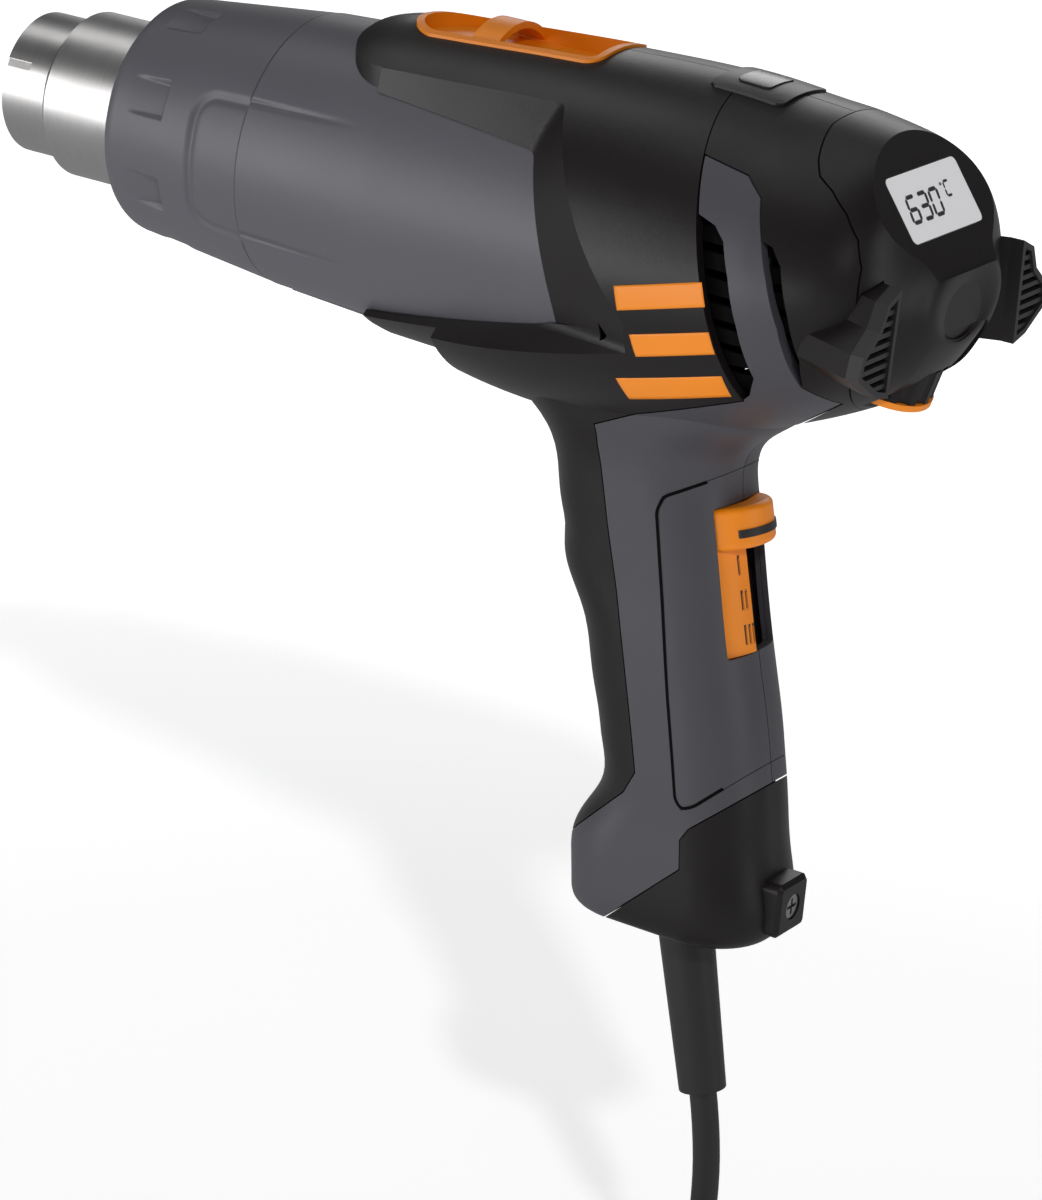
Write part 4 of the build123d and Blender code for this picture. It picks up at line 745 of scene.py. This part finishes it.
# painted shade: the ring's near-black stands for the shade in the joint
joint_shade = grid_piece("guard_joint_shade", joint_shade_points, "painted_shade_black", close_rows=True,
                  close_columns=True)
print("seal faces:", len(joint_shade.data.polygons))


# %% [markdown]
# ## Marks on curved shells
# A printed mark has no thickness of its own: it lies on the shell like a film. Its outline is drawn
# flat, in the view from the side or from behind, and then dropped straight on to the shell. A
# Shrinkwrap modifier could do that too, but a ray test of every point against every triangle of the
# shell, written with arrays, keeps the outline exactly as drawn. The film stops a few hundredths of
# a millimetre above the surface it meets.

# %% Triangles of a shell
def triangles_of(nodes):
    """All triangles of some model nodes, as an array (triangle, corner, xyz)."""
    parts = []
    for node in nodes:
        mesh = NODES[node].data
        corners = np.empty(len(mesh.vertices) * 3)
        mesh.vertices.foreach_get("co", corners)
        mesh.calc_loop_triangles()
        index = np.empty(len(mesh.loop_triangles) * 3, dtype=np.int32)
        mesh.loop_triangles.foreach_get("vertices", index)
        parts.append(corners.reshape(-1, 3)[index.reshape(-1, 3)])
    return np.concatenate(parts)


# %% Dropping a film on a shell
REACH = 0.0015             # triangles further beside the outline than this are left out
BATCH = 400                # points tested at once
EDGE = 1e-6                # a ray this close outside a triangle still hits it
EDGE_ON = 1e-16            # triangles that are seen exactly edge on are left out


def drop_on(points, direction, nodes, gap):
    """Move each point along a direction to the first triangle it meets, less a small gap.

    The place is the point plus far times the direction, on the plane of the triangle. There u and v
    are its shares along two of the edges: neither may be below 0, nor their sum above 1.
    """
    faces = triangles_of(nodes)
    flat = points.reshape(-1, 3)
    low, high = flat.min(0) - REACH, flat.max(0) + REACH
    beside = np.array(direction) == 0
    near = (faces.max(1) > low)[:, beside].all(1) & (faces.min(1) < high)[:, beside].all(1)
    a, b, c = faces[near].transpose(1, 0, 2)
    way = np.array(direction, float)
    edge1, edge2 = b - a, c - a
    normal = np.cross(way, edge2)
    scale = np.einsum("ij,ij->i", edge1, normal)
    keep = np.abs(scale) > EDGE_ON
    a, edge1, edge2, normal, scale = a[keep], edge1[keep], edge2[keep], normal[keep], scale[keep]
    best = np.full(len(flat), np.inf)
    for start in range(0, len(flat), BATCH):
        span = flat[start:start + BATCH, None, :] - a[None]
        u = np.einsum("nij,ij->ni", span, normal) / scale
        side = np.cross(span, edge1[None])
        v = side @ way / scale
        far = np.einsum("nij,ij->ni", side, edge2) / scale
        hit = (u > -EDGE) & (v > -EDGE) & (u + v < 1 + EDGE) & (far > 0)
        best[start:start + BATCH] = np.where(hit, far, np.inf).min(1)
    best = np.where(np.isfinite(best), best, best.min())       # a miss stays level with the nearest
    return (flat + (best - gap)[:, None] * way).reshape(points.shape)


# %% [markdown]
# ## The orange bars on the flank
# The flank carries a generic printed mark: three slanted bars one above the other, in the same
# orange as the trim. A painted texture would need an unwrapped shell. Each bar is instead a patch
# between four corners, given in the side view from the upper front corner round by the rear, and it
# is dropped on the shell as a film.

# %% Orange flank graphic
BAR_GAP, BAR_FILM = 0.00006, 0.00004       # the film's height over the shell, and its thickness
LEFT_OF_TOOL = -0.080                      # where the drop starts
GRAPHIC_BARS = [
    [(187.2, -0.2), (208.6, 5.5), (210.0, 0.3), (188.4, -5.5)],
    [(191.4, -10.4), (211.0, -5.2), (212.2, -10.2), (192.6, -15.5)],
    [(186.2, -22.6), (212.8, -15.5), (213.4, -20.9), (187.8, -27.9)],
]


def bar_grid(corners, along=28, down=9):
    """Points between four corners: (1 - b) times the upper edge plus b times the lower edge."""
    placed = np.array(corners) * MM + (MOUTH_X, AXIS_HEIGHT)
    upper_front, upper_rear, lower_rear, lower_front = placed
    a = np.linspace(0.0, 1.0, along)[:, None, None]
    b = np.linspace(0.0, 1.0, down)[None, :, None]
    upper = upper_front + a * (upper_rear - upper_front)
    lower = lower_front + a * (lower_rear - lower_front)
    return (1 - b) * upper + b * lower


for k, corners in enumerate(GRAPHIC_BARS):
    flat = bar_grid(corners)
    start = np.stack([flat[..., 0], np.full(flat.shape[:2], LEFT_OF_TOOL), flat[..., 1]], -1)
    laid = drop_on(start, (0, 1, 0), ["main_housing_left"], BAR_GAP)
    grid_piece("flank_bar_%d" % k, laid, "orange_plastic", outward=(0, -1, 0),
               film=BAR_FILM)
print("flank bars:", len(GRAPHIC_BARS))


# %% [markdown]
# ## The display's figures
# A liquid-crystal display draws figures from seven straight segments with pointed ends. One segment
# is six points. A text object would show a printed typeface instead. A small table says where each
# segment of a figure lies and whether it stands up, and all the lit segments together are one small
# mesh of six-sided faces in the display's plane.

# %% Display plane
DISPLAY_MIDDLE = np.array([240.55 * MM + MOUTH_X, 0.0, 23.25 * MM + AXIS_HEIGHT])
TILT = math.radians(36.6)
DISPLAY_ACROSS = np.array([0.0, 1.0, 0.0])
DISPLAY_UP = np.array([-math.sin(TILT), 0.0, math.cos(TILT)])
DISPLAY_OUT = np.array([math.cos(TILT), 0.0, math.sin(TILT)])
print("display faces:", DISPLAY_OUT.round(3))

# %% Segments of the figures
# each segment: its middle as shares of the figure's width and height, and 1 if it stands up
SEGMENTS = {"a": (0.5, 1.0, 0), "b": (1.0, 0.75, 1), "c": (1.0, 0.25, 1), "d": (0.5, 0.0, 0),
            "e": (0.0, 0.25, 1), "f": (0.0, 0.75, 1), "g": (0.5, 0.5, 0)}
# each figure: lit segments, lower left corner, width and height, in millimetres
FIGURES = [("acdefg", -12.0, -3.3, 3.5, 5.7), ("abcdg", -6.9, -3.3, 3.5, 5.7),
           ("abcdef", -1.8, -3.3, 3.5, 5.7), ("adef", 5.4, -0.2, 2.1, 3.3),
           ("abfg", 3.7, 2.2, 0.8, 0.8)]
SLANT = 0.16
FULL_WIDTH, FIGURE_FOOT = 3.5, -3.3        # of the large figures
NICK = 0.16                                # gap between two segments of a large figure
STROKE, LEAST_STROKE = 0.80, 0.12          # segment width: a share that grows, and one that stays
print("figures and unit:", len(FIGURES))


# %% Figures
INK_GAP, INK_FILM = 0.00004, 0.00003


def segment_outline(length, width):
    """Six points of a bar with pointed ends, along +u."""
    tip, body = length / 2, length / 2 - width / 2
    return np.array([(-tip, 0), (-body, width / 2), (body, width / 2), (tip, 0),
                     (body, -width / 2), (-body, -width / 2)])


def figure_points():
    """All segments: the outline, turned upright where needed, moved to its place and slanted."""
    shapes = []
    for lit, u0, v0, wide, high in FIGURES:
        for key in lit:
            fu, fv, upright = SEGMENTS[key]
            size = wide / FULL_WIDTH
            reach = (high / 2 if upright else wide) - NICK * size
            bar = segment_outline(reach, STROKE * size + LEAST_STROKE)
            bar = bar[:, ::-1] if upright else bar
            shapes.append(bar + (u0 + fu * wide, v0 + fv * high))
    flat = np.array(shapes)
    flat[..., 0] += SLANT * (flat[..., 1] - FIGURE_FOOT)
    return (DISPLAY_MIDDLE + flat[..., :1] * MM * DISPLAY_ACROSS + flat[..., 1:] * MM * DISPLAY_UP
            + INK_GAP * DISPLAY_OUT)


figure_grid = figure_points()
figure_faces = np.arange(figure_grid.shape[0] * 6).reshape(-1, 6)
figures = mesh_piece("display_figures", figure_grid.reshape(-1, 3), figure_faces, "ink_and_painted_shade",
                     outward=DISPLAY_OUT, film=INK_FILM)
print("lit segments:", len(figures.data.polygons))


# %% [markdown]
# ## The groove round the inlay
# Where the inlay meets the grip there is a narrow groove, which reads as a fine dark line from far
# away because shade fills it. So narrow a groove is easily lost between two samples of a render. A
# film of painted shade is therefore laid along it: the film rests on the two lips of the groove and
# spans what lies between them.

# %% Inlay groove
INLAY_LINE = [(199.2, -48.5), (191.8, -52.4), (190.7, -56.0), (198.3, -99.0), (202.9, -121.9),
              (204.7, -123.8), (207.4, -122.6), (212.8, -117.5)]
GROOVE_WIDTH, GROOVE_STEP = 0.75, 0.35     # millimetres
GROOVE_SIDES = 6                           # points across
LINE_GAP, GROOVE_FILM = 0.00005, 0.00002
BESIDE_TOOL = 0.050                        # where the drop starts, on either side


def line_film(path, width, spacing, sides):
    """Points across a polyline in the side view, its corners eased by a running mean of seven."""
    path = np.array(path, float)
    run = np.concatenate([[0.0], np.cumsum(np.linalg.norm(np.diff(path, axis=0), axis=1))])
    spot = np.arange(0.0, run[-1], spacing)
    line = np.stack([np.interp(spot, run, path[:, k]) for k in (0, 1)], 1)
    eased = np.pad(line, ((3, 3), (0, 0)), mode="edge")
    line = np.stack([np.convolve(eased[:, k], np.full(7, 1 / 7), mode="valid") for k in (0, 1)], 1)
    way = np.gradient(line, axis=0)
    way /= np.linalg.norm(way, axis=1, keepdims=True)
    square = np.stack([-way[:, 1], way[:, 0]], 1)
    shift = np.linspace(-0.5, 0.5, sides)[:, None] * width
    return (line[:, None, :] + shift[None] * square[:, None, :]) * MM + (MOUTH_X, AXIS_HEIGHT)


for side, name in ((-1, "left"), (1, "right")):
    flat = line_film(INLAY_LINE, GROOVE_WIDTH, GROOVE_STEP, GROOVE_SIDES)
    away = np.full(flat.shape[:2], side * BESIDE_TOOL)
    start = np.stack([flat[..., 0], away, flat[..., 1]], -1)
    laid = drop_on(start, (0, -side, 0), ["grip_" + name, "grip_pad_" + name], LINE_GAP)
    proud = side * laid[..., 1]
    middle = GROOVE_SIDES // 2
    lips = proud[:, :middle].max(1, keepdims=True), proud[:, middle:].max(1, keepdims=True)
    blend = np.linspace(0.0, 1.0, laid.shape[1])
    laid[..., 1] = side * (lips[0] * (1 - blend) + lips[1] * blend)
    # painted shade: the film's near-black stands for the shade in the groove
    grid_piece("inlay_groove_shade_" + name, laid, "painted_shade_black", outward=(0, side, 0),
               film=GROOVE_FILM)
print("groove rows:", len(flat))


# %% [markdown]
# ## Marks beside the sliding knob
# The scale beside the knob has one, two and three strokes, moulded as shallow slots that look
# dark because they lie in shade. Light reaches too far into slots as wide as these, and a mask in
# the material would blur close up, so a short film of painted shade is laid over each slot and may
# sag a little way into it.

# %% Switch strokes
# across and height of each stroke's middle, in millimetres
SWITCH_STROKES = [(-3.95, -68.6), (-3.95, -76.5), (-2.65, -76.5), (-3.95, -84.3), (-2.65, -84.3),
                  (-1.35, -84.3)]
STROKE_WIDTH, STROKE_LENGTH = 0.62, 4.5
BEHIND_GRIP = 60.0         # where the drop starts
STROKE_FILM = 0.00003
STROKE_SINK = 0.0003       # how far the film may sag into a slot
for k, (y, z) in enumerate(SWITCH_STROKES):
    across = np.linspace(-0.5, 0.5, 5) * STROKE_WIDTH + y
    down = np.linspace(0.5, -0.5, 13) * STROKE_LENGTH + z
    start = np.stack(np.broadcast_arrays(BEHIND_GRIP, across[None, :], down[:, None]), -1) * MM
    start[..., 2] += AXIS_HEIGHT
    laid = drop_on(start, (-1, 0, 0), ["switch_scale"], LINE_GAP)
    scale_face = np.median(laid[..., 0], 1)[:, None]
    laid[..., 0] = np.maximum(laid[..., 0], scale_face - STROKE_SINK)
    # painted shade: the dark film stands for the shade in the slot
    grid_piece("switch_stroke_shade_%d" % k, laid, "ink_and_painted_shade", outward=(1, 0, 0),
               film=STROKE_FILM)
print("switch strokes:", len(SWITCH_STROKES))


# %% [markdown]
# ## A dark lining behind the lower seam
# The shells of a real housing overlap along their seams with a tongue and a groove, so no light
# passes. The model's seams are plain gaps, and a tongue in each would be hard to see. A thin
# sleeve just inside the grip does the same work: its level sections are rounded rectangles a little
# smaller than the grip's, and its wall is half a millimetre. Its near-black is painted shade, the
# shade inside the housing behind the seams.

# %% Seam lining
# height, front edge, rear edge and half width of the grip's outside, in millimetres
LINING = [(-112, 174.6, 216.2, 18.1), (-121, 176.9, 218.0, 18.2), (-128, 176.2, 219.2, 18.3),
          (-137, 171.4, 220.8, 18.6), (-148, 170.8, 223.4, 18.9), (-153, 171.4, 223.0, 18.4)]
LINING_INSET, LINING_WALL = 2.7, 0.5
LINING_FLAT = 2.2          # half of the flat stretch at the front and the rear


def lining_surface(inset):
    """Rounded rectangles, one above the other.

    The signs of cosine and sine pick one of the four corner centres, and the corner's own circle is
    added to it.
    """
    table = np.array(LINING, float)[::-1]
    z = np.linspace(table[0, 0], table[-1, 0], 40)
    front, rear, half = (np.interp(z, table[:, 0], table[:, k])[:, None] for k in (1, 2, 3))
    half_depth, half_width = (rear - front) / 2 - inset, half - inset
    r = half_width - LINING_FLAT
    angle = np.linspace(0.0, 2 * math.pi, 96, endpoint=False)
    c, s = np.cos(angle), np.sin(angle)
    x = (front + rear) / 2 + np.sign(c.round(9)) * (half_depth - r) + r * c
    y = np.sign(s.round(9)) * (half_width - r) + r * s
    level = np.repeat(z[:, None], len(angle), 1)
    return np.stack([x, y, level], -1) * MM + (MOUTH_X, 0.0, AXIS_HEIGHT)


inside = lining_surface(LINING_INSET + LINING_WALL)
lining_points = np.concatenate([lining_surface(LINING_INSET), inside[::-1]])
# painted shade: the sleeve's near-black stands for the shade inside the housing behind the seams
lining = grid_piece("seam_shade_lining", lining_points, "painted_shade_black", close_rows=True,
                    close_columns=True)
print("lining faces:", len(lining.data.polygons))


# %% [markdown]
# ## The end
# The finished look must stay inside the box of the model.

# %% End
print("scene built")
